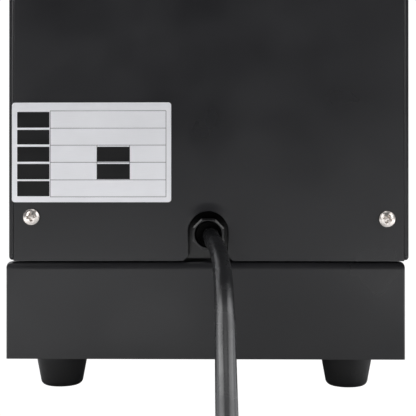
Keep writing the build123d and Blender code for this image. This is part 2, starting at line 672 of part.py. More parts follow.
def column_frame():
    """The welded hat-section frame that carries the head on the base."""
    half = FRAME_WIDTH / 2
    top = HEAD_PLATE_BOTTOM
    web = block(-half, half, FRAME_FRONT, FRAME_FRONT + FRAME_SHEET, BASE_TOP, top)
    frame = web
    for side in (-1, 1):
        x0, x1 = sorted((side * half, side * (half - FRAME_SHEET)))
        frame += block(x0, x1, FRAME_FRONT, FRAME_REAR, BASE_TOP, top)
        x0, x1 = sorted((side * (half - FRAME_SHEET), side * (half + FRAME_LIP)))
        frame += block(x0, x1, FRAME_REAR - FRAME_SHEET, FRAME_REAR, BACK_PLATE_BOTTOM,
                       BACK_PLATE_TOP)
    for z0, z1 in ((BASE_TOP, BASE_TOP + FRAME_END_PLATE), (top - FRAME_END_PLATE, top)):
        frame += block(-half, half, FRAME_FRONT, FRAME_REAR, z0, z1)
    for x, y in frame_bolts():
        frame -= post(x, y, BASE_TOP - 1, top + 1, M6_RADIUS + SCREW_CLEARANCE)
    for x, z in back_plate_screw_places():
        frame -= rod_y(x, FRAME_REAR - FRAME_SHEET - 1, FRAME_REAR + 1, z, M4_RADIUS + FIT)
    return frame


def back_plate_screw_places():
    """The chassis back plate's screws, as (x, z)."""
    reach = (FRAME_WIDTH / 2 + FRAME_LIP + FRAME_WIDTH / 2) / 2
    return [(side * reach, z) for side in (-1, 1)
            for z in (BACK_PLATE_BOTTOM + BACK_PLATE_SCREW_RISE,
                      BACK_PLATE_TOP - BACK_PLATE_SCREW_DROP)]


def cap_screws():
    """All the socket-head screws of the frame: lift guide, column ends and spindle housing."""
    seats = [(x, y, FLANGE_TOP) for x, y in guide_bolts()]
    seats += [(x, y, BASE_TOP + FRAME_END_PLATE) for x, y in frame_bolts()]
    seats += [(x, y, HEAD_PLATE_TOP) for x, y in frame_bolts()]
    seats += [(x, y, HEAD_PLATE_TOP + HOUSING_FLANGE_THICKNESS) for x, y in housing_bolts()]
    return [cap_screw(*seat) for seat in seats]


def chassis_back_plate():
    """The inner plate behind the rear cover, which holds the strain relief and the board."""
    half = BACK_PLATE_WIDTH / 2
    plate = block(-half, half, FRAME_REAR, BACK_PLATE_REAR, BACK_PLATE_BOTTOM, BACK_PLATE_TOP)
    plate -= rod_y(0, FRAME_REAR - 1, BACK_PLATE_REAR + 1, BUSHING_Z, BUSHING_NECK_RADIUS + FIT)
    for x, z in back_plate_screw_places():
        plate -= rod_y(x, FRAME_REAR - 1, BACK_PLATE_REAR + 1, z, M4_RADIUS + SCREW_CLEARANCE)
    return plate


def back_plate_screws():
    """The screws that hold the chassis back plate to the frame's lips."""
    return [Pos(x, BACK_PLATE_REAR, z) * Rot(-90, 0, 0) * pan_screw()
            for x, z in back_plate_screw_places()]


def side_outline(inset):
    """The housing seen from the side, drawn in (y, z), with its edges moved in by an inset."""
    rear = HOUSING_REAR - inset
    front = HEAD_FRONT + inset
    top = HEAD_TOP - inset
    points = [(rear, HOUSING_BOTTOM + PANEL_LIFT + inset), (rear, top), (front, top),
              (front, HEAD_BOTTOM + inset), (COLUMN_FRONT + inset, HEAD_BOTTOM + inset),
              (COLUMN_FRONT + inset, HOUSING_BOTTOM + PANEL_LIFT + inset)]
    bends = [PANEL_CORNER, HEAD_REAR_BEND - inset, HEAD_FRONT_BEND - inset, PANEL_CORNER,
             THROAT_BEND + inset, PANEL_CORNER]
    path = FilletPolyline(*points, radius=bends, close=True)
    return make_face(path)


def outline_solid(inset, half):
    """The side outline drawn out across the machine, between -half and +half."""
    return extrude(Plane.YZ.offset(-half) * side_outline(inset), 2 * half)


def side_panel(side):
    """One side sheet of column and head, with the welded angle that the rear cover meets."""
    outline = side_outline(0)
    inner = min(side * PANEL_INSIDE, side * HOUSING_WIDTH / 2)
    panel = extrude(Plane.YZ.offset(inner) * outline, PANEL_THICKNESS)
    x0, x1 = sorted((side * (PANEL_INSIDE - REAR_ANGLE_WIDTH), side * PANEL_INSIDE))
    panel += block(x0, x1, BACK_OF_COVER - REAR_ANGLE_THICKNESS, BACK_OF_COVER,
                   HOUSING_BOTTOM + REAR_ANGLE_SHORT, rear_cover_top() - REAR_ANGLE_SHORT)
    for y, z in side_screw_places():
        panel -= rod_x(side * (PANEL_INSIDE - 1), side * (HOUSING_WIDTH / 2 + 1), y, z,
                       M4_RADIUS + SCREW_CLEARANCE)
    for x, z in cover_screw_places():
        panel -= rod_y(x, BACK_OF_COVER - 2 * REAR_ANGLE_THICKNESS, BACK_OF_COVER + 1, z,
                       M4_RADIUS + FIT)
    return panel


def side_panel_screws():
    """The pan-head screws of both side panels."""
    solids = []
    for side in (-1, 1):
        for y, z in side_screw_places():
            place = Pos(side * HOUSING_WIDTH / 2, y, z) * Rot(0, side * 90, 0)
            solids.append(place * pan_screw())
    return solids


def rear_cover():
    """The flat rear cover with its arched cord notch, flared at the lower edge."""
    cover = block(-COVER_HALF, COVER_HALF, BACK_OF_COVER, HOUSING_REAR, HOUSING_BOTTOM,
                  rear_cover_top())
    half = NOTCH_WIDTH / 2
    flare = NOTCH_CHAMFER
    low = HOUSING_BOTTOM
    arch = low + NOTCH_HEIGHT - half
    lines = Polyline((half, arch), (half, low + flare), (half + flare, low),
                     (half + flare, low - 1), (-half - flare, low - 1), (-half - flare, low),
                     (-half, low + flare), (-half, arch))
    crown = ThreePointArc((-half, arch), (0, arch + half), (half, arch))
    notch = make_face(Wire([*lines.edges(), *crown.edges()]))
    cover -= extrude(Plane.XZ.offset(-HOUSING_REAR - 1) * notch, COVER_THICKNESS + 2)
    rim = cover.faces().sort_by(Axis.Y)[-1].outer_wire().edges()
    cover = fillet(rim, COVER_EDGE_RADIUS)
    for x, z in cover_screw_places():
        cover -= rod_y(x, BACK_OF_COVER - 1, HOUSING_REAR + 1, z, M4_RADIUS + SCREW_CLEARANCE)
    return cover


def rear_cover_screws():
    """The rear cover's pan-head screws."""
    return [Pos(x, HOUSING_REAR, z) * Rot(-90, 0, 0) * pan_screw()
            for x, z in cover_screw_places()]


def column_front_cover():
    """The folded cover on the column's front, between the side panels."""
    low = HOUSING_BOTTOM + PANEL_LIFT
    high = HEAD_BOTTOM - HOUSING_GAP
    depth = COVER_THICKNESS + FLANGE_DEPTH
    outer = block(-COVER_HALF, COVER_HALF, COLUMN_FRONT, COLUMN_FRONT + depth, low, high)
    outer = fillet(outer.edges().filter_by(Axis.Z).sort_by(Axis.Y)[:2], COVER_BEND)
    inner_half = COVER_HALF - COVER_THICKNESS
    cover = outer - block(-inner_half, inner_half, COLUMN_FRONT + COVER_THICKNESS,
                          COLUMN_FRONT + depth + 1, low - 1, high + 1)
    return cover - side_screw_holes(COVER_HALF)


def side_screw_holes(half):
    """The tapped holes for the side panels' screws, to cut from a piece of a half width."""
    return [rod_x(side * (half - TAPPED_DEPTH), side * (half + 1), y, z, M4_RADIUS + FIT)
            for side in (-1, 1) for y, z in side_screw_places()]


def head_cover():
    """The wrapped cover of the head's front, top and upper rear, with its side flanges."""
    outer = outline_solid(0, COVER_HALF)
    cover = outer - outline_solid(COVER_THICKNESS, COVER_HALF + 1)
    wall = HEAD_FRONT + COVER_THICKNESS
    wide = COVER_HALF + 1
    cover -= block(-wide, wide, wall, HOUSING_REAR + 1, 0, HEAD_BOTTOM + HEAD_UNDERSIDE_CUT)
    cover -= block(-wide, wide, 0, HOUSING_REAR + 1, 0, rear_cover_top() + PANEL_GAP)
    under = HEAD_TOP - COVER_THICKNESS
    for side in (-1, 1):
        x0, x1 = sorted((side * COVER_HALF, side * (COVER_HALF - COVER_THICKNESS)))
        cover += block(x0, x1, HEAD_FRONT + HEAD_FRONT_BEND, HOUSING_REAR - 2 * HEAD_REAR_BEND,
                       under - FLANGE_DEPTH, under)
    margin = CONTROL_WINDOW_MARGIN
    reach = CONTROL_WIDTH / 2 - margin
    cover -= block(-reach, reach, HEAD_FRONT - 1, wall + 1, CONTROL_BOTTOM + margin,
                   CONTROL_BOTTOM + CONTROL_HEIGHT - margin)
    return cover - side_screw_holes(COVER_HALF)


def rating_plate():
    """The bare metal plate on the rear cover."""
    plate = RectangleRounded(PLATE_WIDTH, PLATE_HEIGHT, PLATE_CORNER)
    centre = HOUSING_BOTTOM + PLATE_CENTRE_HEIGHT
    place = Plane((PLATE_CENTRE_X, HOUSING_REAR, centre), x_dir=(-1, 0, 0), z_dir=(0, 1, 0))
    return extrude(place * plate, PLATE_THICKNESS)


def strain_relief_bushing():
    """The nylon strain relief: an eight-sided head with a round mouth, and a neck in the plate."""
    head = RegularPolygon(BUSHING_RADIUS, 8, major_radius=False, rotation=22.5)
    body = extrude(head, BUSHING_HEAD_LENGTH)
    body = fillet(body.faces().sort_by(Axis.Z)[-1].edges(), BUSHING_EDGE_RADIUS)
    body += post(0, 0, -BACK_PLATE_THICKNESS, 0, BUSHING_NECK_RADIUS)
    collar = BACK_PLATE_THICKNESS + BUSHING_COLLAR
    body += post(0, 0, -collar, -BACK_PLATE_THICKNESS, BUSHING_NECK_RADIUS + 1)
    body -= post(0, 0, BUSHING_HEAD_LENGTH - BUSHING_MOUTH_DEPTH, BUSHING_HEAD_LENGTH + 1,
                 BUSHING_MOUTH_RADIUS)
    return Pos(0, BACK_PLATE_REAR, BUSHING_Z) * Rot(-90, 0, 0) * body


def head_plate():
    """The thick plate that carries the spindle, the yoke and the motor."""
    plate = block(-COVER_HALF, COVER_HALF, HEAD_PLATE_FRONT, FRAME_REAR, HEAD_PLATE_BOTTOM,
                  HEAD_PLATE_TOP)
    low = HEAD_PLATE_BOTTOM - 1
    high = HEAD_PLATE_TOP + 1
    plate -= post(0, AXIS_Y, low, high, HOUSING_RADIUS + FIT)
    plate -= post(0, PIVOT_Y, low, high, PIVOT_THREAD_RADIUS + FIT)
    for x, y in frame_bolts():
        plate -= post(x, y, low, high, M6_RADIUS + SCREW_CLEARANCE)
    bolt_end = HEAD_PLATE_TOP + HOUSING_FLANGE_THICKNESS - M6_LENGTH
    for x, y in housing_bolts():
        plate -= post(x, y, bolt_end - BOLT_END_PLAY, high, M6_RADIUS + FIT)
    return plate - side_screw_holes(COVER_HALF)


def spindle_housing():
    """The flanged housing that holds the spindle's two bearings."""
    low = SPINDLE_HOUSING_BOTTOM
    high = SPINDLE_HOUSING_TOP
    seat = BEARING_RADIUS + FIT
    shoulder = BEARING_RADIUS - BEARING_SHOULDER
    neck = SPINDLE_SHOULDER_RADIUS + 2
    lower_top = LOWER_BEARING + BEARING_WIDTH
    flange_top = HEAD_PLATE_TOP + HOUSING_FLANGE_THICKNESS
    body = turned([(neck, low), (HOUSING_RADIUS, low), (HOUSING_RADIUS, HEAD_PLATE_TOP),
                   (HOUSING_FLANGE_RADIUS, HEAD_PLATE_TOP), (HOUSING_FLANGE_RADIUS, flange_top),
                   (HOUSING_RADIUS, flange_top), (HOUSING_RADIUS, high), (seat, high),
                   (seat, UPPER_BEARING), (shoulder, UPPER_BEARING), (shoulder, lower_top),
                   (seat, lower_top), (seat, LOWER_BEARING), (neck, LOWER_BEARING)])
    body = Pos(0, AXIS_Y, 0) * body
    for x, y in housing_bolts():
        body -= post(x, y, HEAD_PLATE_TOP - 1, flange_top + 1, M6_RADIUS + SCREW_CLEARANCE)
    return body


def spindle_bearings():
    """The two spindle bearings, plain rings with a raised race on each side."""
    bore = SPINDLE_RADIUS + RUNNING_FIT
    middle = (bore + BEARING_RADIUS) / 2
    half = RACE_GROOVE_WIDTH / 2
    deep = RACE_GROOVE_DEPTH
    profile = [(bore, 0), (middle - half, 0), (middle - half, deep), (middle + half, deep),
               (middle + half, 0), (BEARING_RADIUS, 0), (BEARING_RADIUS, BEARING_WIDTH),
               (middle + half, BEARING_WIDTH), (middle + half, BEARING_WIDTH - deep),
               (middle - half, BEARING_WIDTH - deep), (middle - half, BEARING_WIDTH),
               (bore, BEARING_WIDTH)]
    return [Pos(0, AXIS_Y, z) * turned(profile) for z in (LOWER_BEARING, UPPER_BEARING)]


def spindle():
    """The spindle, with its shoulder under the lower bearing."""
    shoulder_top = LOWER_BEARING - SPINDLE_END_PLAY
    shaft = turned([(0, CHUCK_TOP), (SPINDLE_SHOULDER_RADIUS, CHUCK_TOP),
                    (SPINDLE_SHOULDER_RADIUS, shoulder_top), (SPINDLE_RADIUS, shoulder_top),
                    (SPINDLE_RADIUS, NUT_TOP + 1), (0, NUT_TOP + 1)])
    return Pos(0, AXIS_Y, 0) * shaft


def seaming_chuck():
    """The chuck: a tapered wall that enters the can's lid, a lip and a hub."""
    low = CHUCK_BOTTOM
    lip = low + CHUCK_LIP_HEIGHT
    rim = lip + CHUCK_FLANGE_HEIGHT
    seat = low + CHUCK_FACE_RECESS
    bore = M6_RADIUS + SCREW_CLEARANCE
    recess = CHUCK_WALL_RADIUS - CHUCK_RIM_WIDTH
    body = turned([(bore, seat), (recess, seat), (recess + 1, low),
                   (CHUCK_WALL_RADIUS - CHUCK_EDGE, low), (CHUCK_WALL_RADIUS, low + 1),
                   (CHUCK_WALL_RADIUS + CHUCK_TAPER, lip), (CHUCK_RADIUS, lip + CHUCK_EDGE),
                   (CHUCK_RADIUS, rim), (CHUCK_RADIUS - CHUCK_BEVEL, rim + CHUCK_BEVEL),
                   (CHUCK_HUB_RADIUS, rim + CHUCK_BEVEL + 1), (CHUCK_HUB_RADIUS, CHUCK_TOP),
                   (bore, CHUCK_TOP)])
    return Pos(0, AXIS_Y, 0) * body


def spindle_fasteners():
    """The chuck's screw from below and the slotted nut over the gear."""
    seat = CHUCK_BOTTOM + CHUCK_FACE_RECESS
    screw = post(0, AXIS_Y, seat - CHUCK_SCREW_HEAD, seat, M6_HEAD_RADIUS + 1)
    screw += post(0, AXIS_Y, seat, CHUCK_TOP - SCREW_CLEARANCE, M6_RADIUS)
    nut = pipe(0, AXIS_Y, GEAR_TOP, NUT_TOP, SPINDLE_NUT_RADIUS, SPINDLE_RADIUS + FIT)
    cutter = Box(NUT_SLOT_WIDTH, NUT_SLOT_WIDTH, 2 * SPINDLE_NUT_HEIGHT)
    slot = Pos(SPINDLE_NUT_RADIUS, 0, (GEAR_TOP + NUT_TOP) / 2) * cutter
    for turn in range(NUT_SLOT_COUNT):
        nut -= Pos(0, AXIS_Y, 0) * Rot(0, 0, 360 * (turn + 0.5) / NUT_SLOT_COUNT) * slot
    return [screw, nut]


def involute(angle):
    """The involute of a pressure angle in radians."""
    return tan(angle) - angle


def gear_outline(teeth, first_tooth):
    """A spur gear's outline with one tooth centred at an angle in degrees."""
    pitch_radius = GEAR_MODULE * teeth / 2
    base_radius = pitch_radius * cos(radians(PRESSURE_ANGLE))
    tip_radius = pitch_radius + GEAR_MODULE
    root_radius = pitch_radius - DEDENDUM_FACTOR * GEAR_MODULE
    start_radius = max(base_radius, root_radius) * INVOLUTE_START_FACTOR
    half_tooth = pi / (2 * teeth) - GEAR_BACKLASH / (4 * pitch_radius)

    def flank(radius, side, centre):
        pressure = acos(min(1, base_radius / radius))
        swing = half_tooth + involute(radians(PRESSURE_ANGLE)) - involute(pressure)
        angle = centre + side * swing
        return (radius * cos(angle), radius * sin(angle))

    def at_root(side, centre):
        x, y = flank(start_radius, side, centre)
        return (x * root_radius / start_radius, y * root_radius / start_radius)

    middle = (start_radius + tip_radius) / 2
    edges = []
    for tooth in range(teeth):
        centre = radians(first_tooth) + 2 * pi * tooth / teeth
        following = centre + 2 * pi / teeth
        rise = [flank(radius, -1, centre) for radius in (start_radius, middle, tip_radius)]
        fall = [flank(radius, 1, centre) for radius in (tip_radius, middle, start_radius)]
        edges += [ThreePointArc(*rise), Line(rise[2], fall[0]), ThreePointArc(*fall)]
        if base_radius > root_radius:
            edges += [Line(at_root(-1, centre), rise[0]), Line(fall[2], at_root(1, centre)),
                      Line(at_root(1, centre), at_root(-1, following))]
        else:
            edges.append(Line(fall[2], flank(start_radius, -1, following)))
    return make_face(Wire([edge for item in edges for edge in item.edges()]))


def drive_gear():
    """The large spur gear on the spindle, with a thin web, a hub and round windows."""
    gear = extrude(Pos(0, 0, GEAR_BOTTOM) * gear_outline(GEAR_TEETH, 90), GEAR_FACE)
    recess = (GEAR_FACE - GEAR_WEB) / 2
    for z0, z1 in ((GEAR_BOTTOM, GEAR_BOTTOM + recess), (GEAR_TOP - recess, GEAR_TOP)):
        gear -= pipe(0, 0, z0, z1, GEAR_RIM_RADIUS, GEAR_HUB_RADIUS)
    ring = (GEAR_HUB_RADIUS + GEAR_RIM_RADIUS) / 2
    for turn in range(GEAR_HOLES):
        angle = 2 * pi * turn / GEAR_HOLES
        gear -= post(ring * cos(angle), ring * sin(angle), GEAR_BOTTOM, GEAR_TOP, GEAR_HOLE_RADIUS)
    gear -= post(0, 0, GEAR_BOTTOM - 1, GEAR_TOP + 1, SPINDLE_RADIUS + FIT)
    return Pos(0, AXIS_Y, 0) * gear


def motor_pinion():
    """The motor's shaft with its pinion, which meshes with the drive gear at rest."""
    space = 270 + 180 / PINION_TEETH
    pinion = extrude(Pos(0, 0, GEAR_BOTTOM) * gear_outline(PINION_TEETH, space), GEAR_FACE)
    pinion += post(0, 0, GEAR_BOTTOM - GEAR_HUB_HEIGHT, BRIDGE_TOP + GEARBOX_HEIGHT / 2,
                   MOTOR_SHAFT_RADIUS)
    pinion += post(0, 0, GEAR_TOP, GEAR_TOP + GEAR_HUB_HEIGHT,
                   MOTOR_SHAFT_RADIUS + PINION_HUB_WALL)
    return Pos(0, MOTOR_Y, 0) * pinion


def motor_bridge():
    """The plate on pillars that carries the geared motor over the gears."""
    plate = block(-BRIDGE_WIDTH / 2, BRIDGE_WIDTH / 2, MOTOR_Y - BRIDGE_DEPTH / 2,
                  MOTOR_Y + BRIDGE_DEPTH / 2, BRIDGE_BOTTOM, BRIDGE_TOP)
    plate = fillet(edges_along(plate, Axis.Z), BRIDGE_CORNER)
    return plate - post(0, MOTOR_Y, BRIDGE_BOTTOM - 1, BRIDGE_TOP + 1, GEARBOX_BOSS_RADIUS + FIT)


def bridge_pillars():
    """Four pillars between the head plate and the bridge."""
    return [post(x, y, HEAD_PLATE_TOP, BRIDGE_BOTTOM, PILLAR_RADIUS) for x, y in pillar_places()]


def motor_gearbox():
    """The gearbox under the motor, with its boss through the bridge."""
    half = GEARBOX_SIZE / 2
    body = block(-half, half, -half, half, BRIDGE_TOP, GEARBOX_TOP)
    body = fillet(edges_along(body, Axis.Z), GEARBOX_CORNER)
    body += post(0, 0, BRIDGE_BOTTOM, BRIDGE_TOP, GEARBOX_BOSS_RADIUS)
    bore_top = BRIDGE_TOP + GEARBOX_HEIGHT / 2 + 1
    body -= post(0, 0, BRIDGE_BOTTOM - 1, bore_top, MOTOR_SHAFT_RADIUS + RUNNING_FIT)
    return Pos(0, MOTOR_Y, 0) * body


def motor_body():
    """The motor's can with cooling grooves and an end bell."""
    points = [(0, GEARBOX_TOP), (MOTOR_RADIUS, GEARBOX_TOP)]
    inner = MOTOR_RADIUS - MOTOR_GROOVE_DEPTH
    for row in range(MOTOR_GROOVE_COUNT):
        low = GEARBOX_TOP + MOTOR_END_BAND + row * MOTOR_GROOVE_PITCH
        high = low + MOTOR_GROOVE_PITCH / 2
        points += [(MOTOR_RADIUS, low), (inner, low), (inner, high), (MOTOR_RADIUS, high)]
    points += [(MOTOR_RADIUS, MOTOR_TOP - MOTOR_END_BAND),
               (MOTOR_RADIUS - MOTOR_BELL_TAPER, MOTOR_TOP), (0, MOTOR_TOP)]
    return Pos(0, MOTOR_Y, 0) * turned(points)


def pivot_screw():
    """The shoulder screw that the yoke swings on."""
    low = YOKE_BOTTOM - CONTROL_PLAY
    screw = turned([(0, low - PIVOT_HEAD_HEIGHT), (PIVOT_HEAD_RADIUS - 1, low - PIVOT_HEAD_HEIGHT),
                    (PIVOT_HEAD_RADIUS, low - PIVOT_HEAD_HEIGHT + 1), (PIVOT_HEAD_RADIUS, low),
                    (PIVOT_RADIUS, low), (PIVOT_RADIUS, HEAD_PLATE_BOTTOM),
                    (PIVOT_THREAD_RADIUS, HEAD_PLATE_BOTTOM),
                    (PIVOT_THREAD_RADIUS, HEAD_PLATE_TOP), (0, HEAD_PLATE_TOP)])
    return Pos(0, PIVOT_Y, 0) * screw


def roller_places():
    """The two roller pins."""
    return [(-ROLLER_X, AXIS_Y), (ROLLER_X, AXIS_Y)]


def seaming_yoke():
    """The yoke: a ring round the spindle housing, with bosses for pivot, rollers and handle."""
    circles = Sketch() + Pos(0, PIVOT_Y) * Circle(PIVOT_BOSS_RADIUS)
    circles += Pos(0, YOKE_FRONT_Y) * Circle(YOKE_FRONT_RADIUS)
    for x, y in roller_places():
        circles += Pos(x, y) * Circle(ROLLER_BOSS_RADIUS)
    yoke = extrude(Pos(0, 0, YOKE_BOTTOM) * make_hull(circles.edges()), YOKE_THICKNESS)
    yoke -= post(0, AXIS_Y, YOKE_BOTTOM - 1, YOKE_TOP + 1, YOKE_OPENING_RADIUS)
    yoke += post(0, PIVOT_Y, YOKE_BOTTOM, HEAD_PLATE_BOTTOM - YOKE_TOP_GAP, PIVOT_BOSS_RADIUS)
    for x, y in roller_places():
        yoke += post(x, y, YOKE_BOTTOM - ROLLER_SPACER_HEIGHT, YOKE_BOTTOM, ROLLER_SPACER_RADIUS)
        yoke -= post(x, y, 0, HEAD_TOP, ROLLER_PIN_RADIUS + FIT)
    yoke -= rod_y(0, YOKE_FRONT_Y - YOKE_FRONT_RADIUS - 1, YOKE_FRONT_Y, HANDLE_HEIGHT,
                  HANDLE_ROD_RADIUS + FIT)
    return yoke - post(0, PIVOT_Y, 0, HEAD_TOP, PIVOT_RADIUS + RUNNING_FIT)


def roller_pins():
    """The pins that carry the rollers, with a hexagon head on the yoke."""
    pins = []
    for x, y in roller_places():
        hexagon = Pos(x, y, YOKE_TOP) * RegularPolygon(ROLLER_PIN_HEAD_RADIUS, 6)
        pin = extrude(hexagon, ROLLER_PIN_HEAD_HEIGHT)
        pins.append(pin + post(x, y, ROLLER_BOTTOM - ROLLER_END_PLAY, YOKE_TOP, ROLLER_PIN_RADIUS))
    return pins


def roller_retainers():
    """The washers and screws that keep the rollers on their pins."""
    top = ROLLER_BOTTOM - ROLLER_END_PLAY
    low = top - RETAINER_HEIGHT
    step = top - RETAINER_WASHER
    retainer = turned([(0, low), (M4_HEAD_RADIUS, low), (M4_HEAD_RADIUS, step),
                       (ROLLER_SPACER_RADIUS, step), (ROLLER_SPACER_RADIUS, top), (0, top)])
    return [Pos(x, y, 0) * retainer for x, y in roller_places()]


def seaming_roller(x, depth, groove_radius):
    """A seaming roller: a thick disc with the seam groove of its operation."""
    bore = ROLLER_PIN_RADIUS + RUNNING_FIT
    body = turned([(bore, 0), (ROLLER_RADIUS - ROLLER_SHOULDER, 0),
                   (ROLLER_RADIUS - ROLLER_CHAMFER, ROLLER_STEP),
                   (ROLLER_RADIUS, ROLLER_STEP + ROLLER_CHAMFER),
                   (ROLLER_RADIUS, ROLLER_HEIGHT - ROLLER_SHOULDER),
                   (ROLLER_RADIUS - ROLLER_TOP_BEVEL, ROLLER_HEIGHT), (bore, ROLLER_HEIGHT)])
    reach = ROLLER_RADIUS + groove_radius - depth
    body -= Pos(0, 0, GROOVE_HEIGHT) * Torus(reach, groove_radius)
    return Pos(x, AXIS_Y, ROLLER_BOTTOM) * body


def yoke_handle_rod():
    """The rod screwed into the yoke's front boss."""
    rod = rod_y(0, HANDLE_SEAT_Y, YOKE_FRONT_Y - HANDLE_END_SPACE, HANDLE_HEIGHT,
                HANDLE_ROD_RADIUS)
    return rod + rod_y(0, HANDLE_SEAT_Y - KNOB_TENON_LENGTH, HANDLE_SEAT_Y, HANDLE_HEIGHT,
                       KNOB_TENON_RADIUS)


def yoke_handle_knob():
    """The ball knob on the yoke's handle."""
    return Pos(0, HANDLE_SEAT_Y, HANDLE_HEIGHT) * Rot(90, 0, 0) * ball_knob()


def lift_guide():
    """The guide tube on its flange, with two straight slots for the cross pin."""
    guide = post(0, 0, BASE_TOP, FLANGE_TOP, GUIDE_FLANGE_RADIUS)
    guide = fillet(guide.edges().filter_by(GeomType.CIRCLE).sort_by(Axis.Z)[-1],
                   GUIDE_EDGE_RADIUS)
    guide += post(0, 0, BASE_TOP, GUIDE_TOP, GUIDE_RADIUS)
    guide -= post(0, 0, BASE_TOP - 1, GUIDE_TOP + 1, STEM_RADIUS + RUNNING_FIT)
    groove_top = RING_BOTTOM + RING_THICKNESS + RING_PLAY
    guide -= pipe(0, 0, RING_BOTTOM - RING_PLAY, groove_top, GUIDE_RADIUS + 1,
                  GUIDE_RADIUS - RING_GROOVE)
    width = CROSS_PIN_RADIUS + CROSS_PIN_PLAY
    reach = GUIDE_RADIUS + 1
    guide -= block(-reach, reach, -width, width, PIN_HEIGHT, PIN_HEIGHT + LIFT_TRAVEL)
    for z in (PIN_HEIGHT, PIN_HEIGHT + LIFT_TRAVEL):
        guide -= rod_x(-reach, reach, 0, z, width)
    guide = Pos(0, AXIS_Y, 0) * guide
    for x, y in guide_bolts():
        guide -= post(x, y, BASE_TOP - 1, FLANGE_TOP + 1, M6_RADIUS + SCREW_CLEARANCE)
    return guide


def cam_slot():
    """The helical slot that the cross pin runs in, from rest to the lever's full swing."""
    width = CROSS_PIN_RADIUS + CROSS_PIN_PLAY
    inner = GUIDE_RADIUS - 1
    outer = SLEEVE_RADIUS + 1
    lead = atan(LIFT_PITCH / (2 * pi * inner))
    height = 2 * width / cos(lead)
    low = PIN_HEIGHT - height / 2
    curves = [Edge.make_helix(LIFT_PITCH, LIFT_TRAVEL, radius, (0, 0, low), (0, 0, 1), 0, True)
              for radius in (inner, outer)]
    floor = Face.make_surface_from_curves(*curves)
    slot = extrude(floor, height, dir=(0, 0, 1))
    for angle, z in ((0, PIN_HEIGHT), (-LEVER_SWING, PIN_HEIGHT + LIFT_TRAVEL)):
        slot += Rot(0, 0, angle) * rod_x(inner, outer, 0, z, width)
    return slot


def cam_sleeve():
    """The barrel cam round the guide, with two helical slots and the lever's boss."""
    sleeve = post(0, 0, SLEEVE_BOTTOM, SLEEVE_TOP, SLEEVE_RADIUS)
    rims = sleeve.edges().filter_by(GeomType.CIRCLE)
    sleeve = chamfer(rims, SLEEVE_EDGE)
    lever = Rot(0, 0, LEVER_REST_ANGLE)
    sleeve += lever * rod_x(SLEEVE_RADIUS - LEVER_BOSS_ROOT, LEVER_BOSS_REACH, 0, LEVER_HEIGHT,
                            LEVER_BOSS_RADIUS)
    sleeve -= post(0, 0, SLEEVE_BOTTOM - 1, SLEEVE_TOP + 1, GUIDE_RADIUS + RUNNING_FIT)
    bore = LEVER_ROD_RADIUS + FIT
    sleeve -= lever * rod_x(lever_rod_start(), LEVER_BOSS_REACH + 1, 0, LEVER_HEIGHT, bore)
    slot = cam_slot()
    sleeve -= slot
    sleeve -= Rot(0, 0, 180) * slot
    return Pos(0, AXIS_Y, 0) * sleeve


def lever_rod_start():
    """The radius where the lever's rod begins inside the sleeve's boss."""
    return GUIDE_RADIUS + LEVER_ROD_SPACE


def sleeve_retaining_ring():
    """The open ring in the guide's groove that keeps the sleeve down."""
    ring = pipe(0, 0, RING_BOTTOM, RING_BOTTOM + RING_THICKNESS, RING_RADIUS,
                GUIDE_RADIUS - RING_GROOVE + FIT)
    ring -= block(-RING_GAP / 2, RING_GAP / 2, 0, RING_RADIUS + 1, RING_BOTTOM - 1,
                  RING_BOTTOM + RING_THICKNESS + 1)
    return Pos(0, AXIS_Y, 0) * ring


def on_lever(solid):
    """A solid drawn along +X from the lift's axis, turned to the lever's rest place."""
    return Pos(0, AXIS_Y, LEVER_HEIGHT) * Rot(0, 0, LEVER_REST_ANGLE) * solid


def lever_seat():
    """The distance from the lift's axis to the lever knob's seat."""
    return LEVER_REACH - knob_centre()


def lift_lever_rod():
    """The lever's rod, with a thinner end inside the knob."""
    rod = rod_x(lever_rod_start() + SCREW_CLEARANCE, lever_seat(), 0, 0, LEVER_ROD_RADIUS)
    rod += rod_x(lever_seat(), lever_seat() + KNOB_TENON_LENGTH, 0, 0, KNOB_TENON_RADIUS)
    return on_lever(rod)


def lift_lever_knob():
    """The ball knob on the lift lever."""
    return on_lever(Pos(lever_seat(), 0, 0) * Rot(0, 90, 0) * ball_knob())


def lift_stem():
    """The sliding stem, with its flange, the table's socket and the cross hole."""
    low = BASE_TOP - STEM_TAIL
    stem = turned([(0, low), (STEM_RADIUS - 1, low), (STEM_RADIUS, low + 1),
                   (STEM_RADIUS, STEM_FLANGE_BOTTOM), (STEM_FLANGE_RADIUS, STEM_FLANGE_BOTTOM),
                   (STEM_FLANGE_RADIUS, STEM_TOP), (0, STEM_TOP)])
    socket = TABLE_JOURNAL_RADIUS + RUNNING_FIT
    stem -= post(0, 0, STEM_TOP - TABLE_JOURNAL_LENGTH - 1, STEM_TOP + 1, socket)
    reach = STEM_RADIUS + 1
    stem -= rod_x(-reach, reach, 0, PIN_HEIGHT, CROSS_PIN_RADIUS + FIT)
    return Pos(0, AXIS_Y, 0) * stem


def cross_pin():
    """The pin through the stem, the guide's slots and the sleeve's helical slots."""
    reach = SLEEVE_RADIUS - CROSS_PIN_RECESS
    return rod_x(-reach, reach, AXIS_Y, PIN_HEIGHT, CROSS_PIN_RADIUS)


def thrust_bearing():
    """The thrust ring between the stem's flange and the turning table."""
    middle = STEM_TOP + THRUST_BEARING_HEIGHT / 2
    inner = TABLE_JOURNAL_RADIUS + 1
    outer = THRUST_BEARING_RADIUS
    waist = outer - THRUST_GROOVE_DEPTH
    half = THRUST_GROOVE_HEIGHT / 2
    body = turned([(inner, STEM_TOP), (outer, STEM_TOP), (outer, middle - half),
                   (waist, middle - half), (waist, middle + half), (outer, middle + half),
                   (outer, BEARING_TOP), (inner, BEARING_TOP)])
    return Pos(0, AXIS_Y, 0) * body


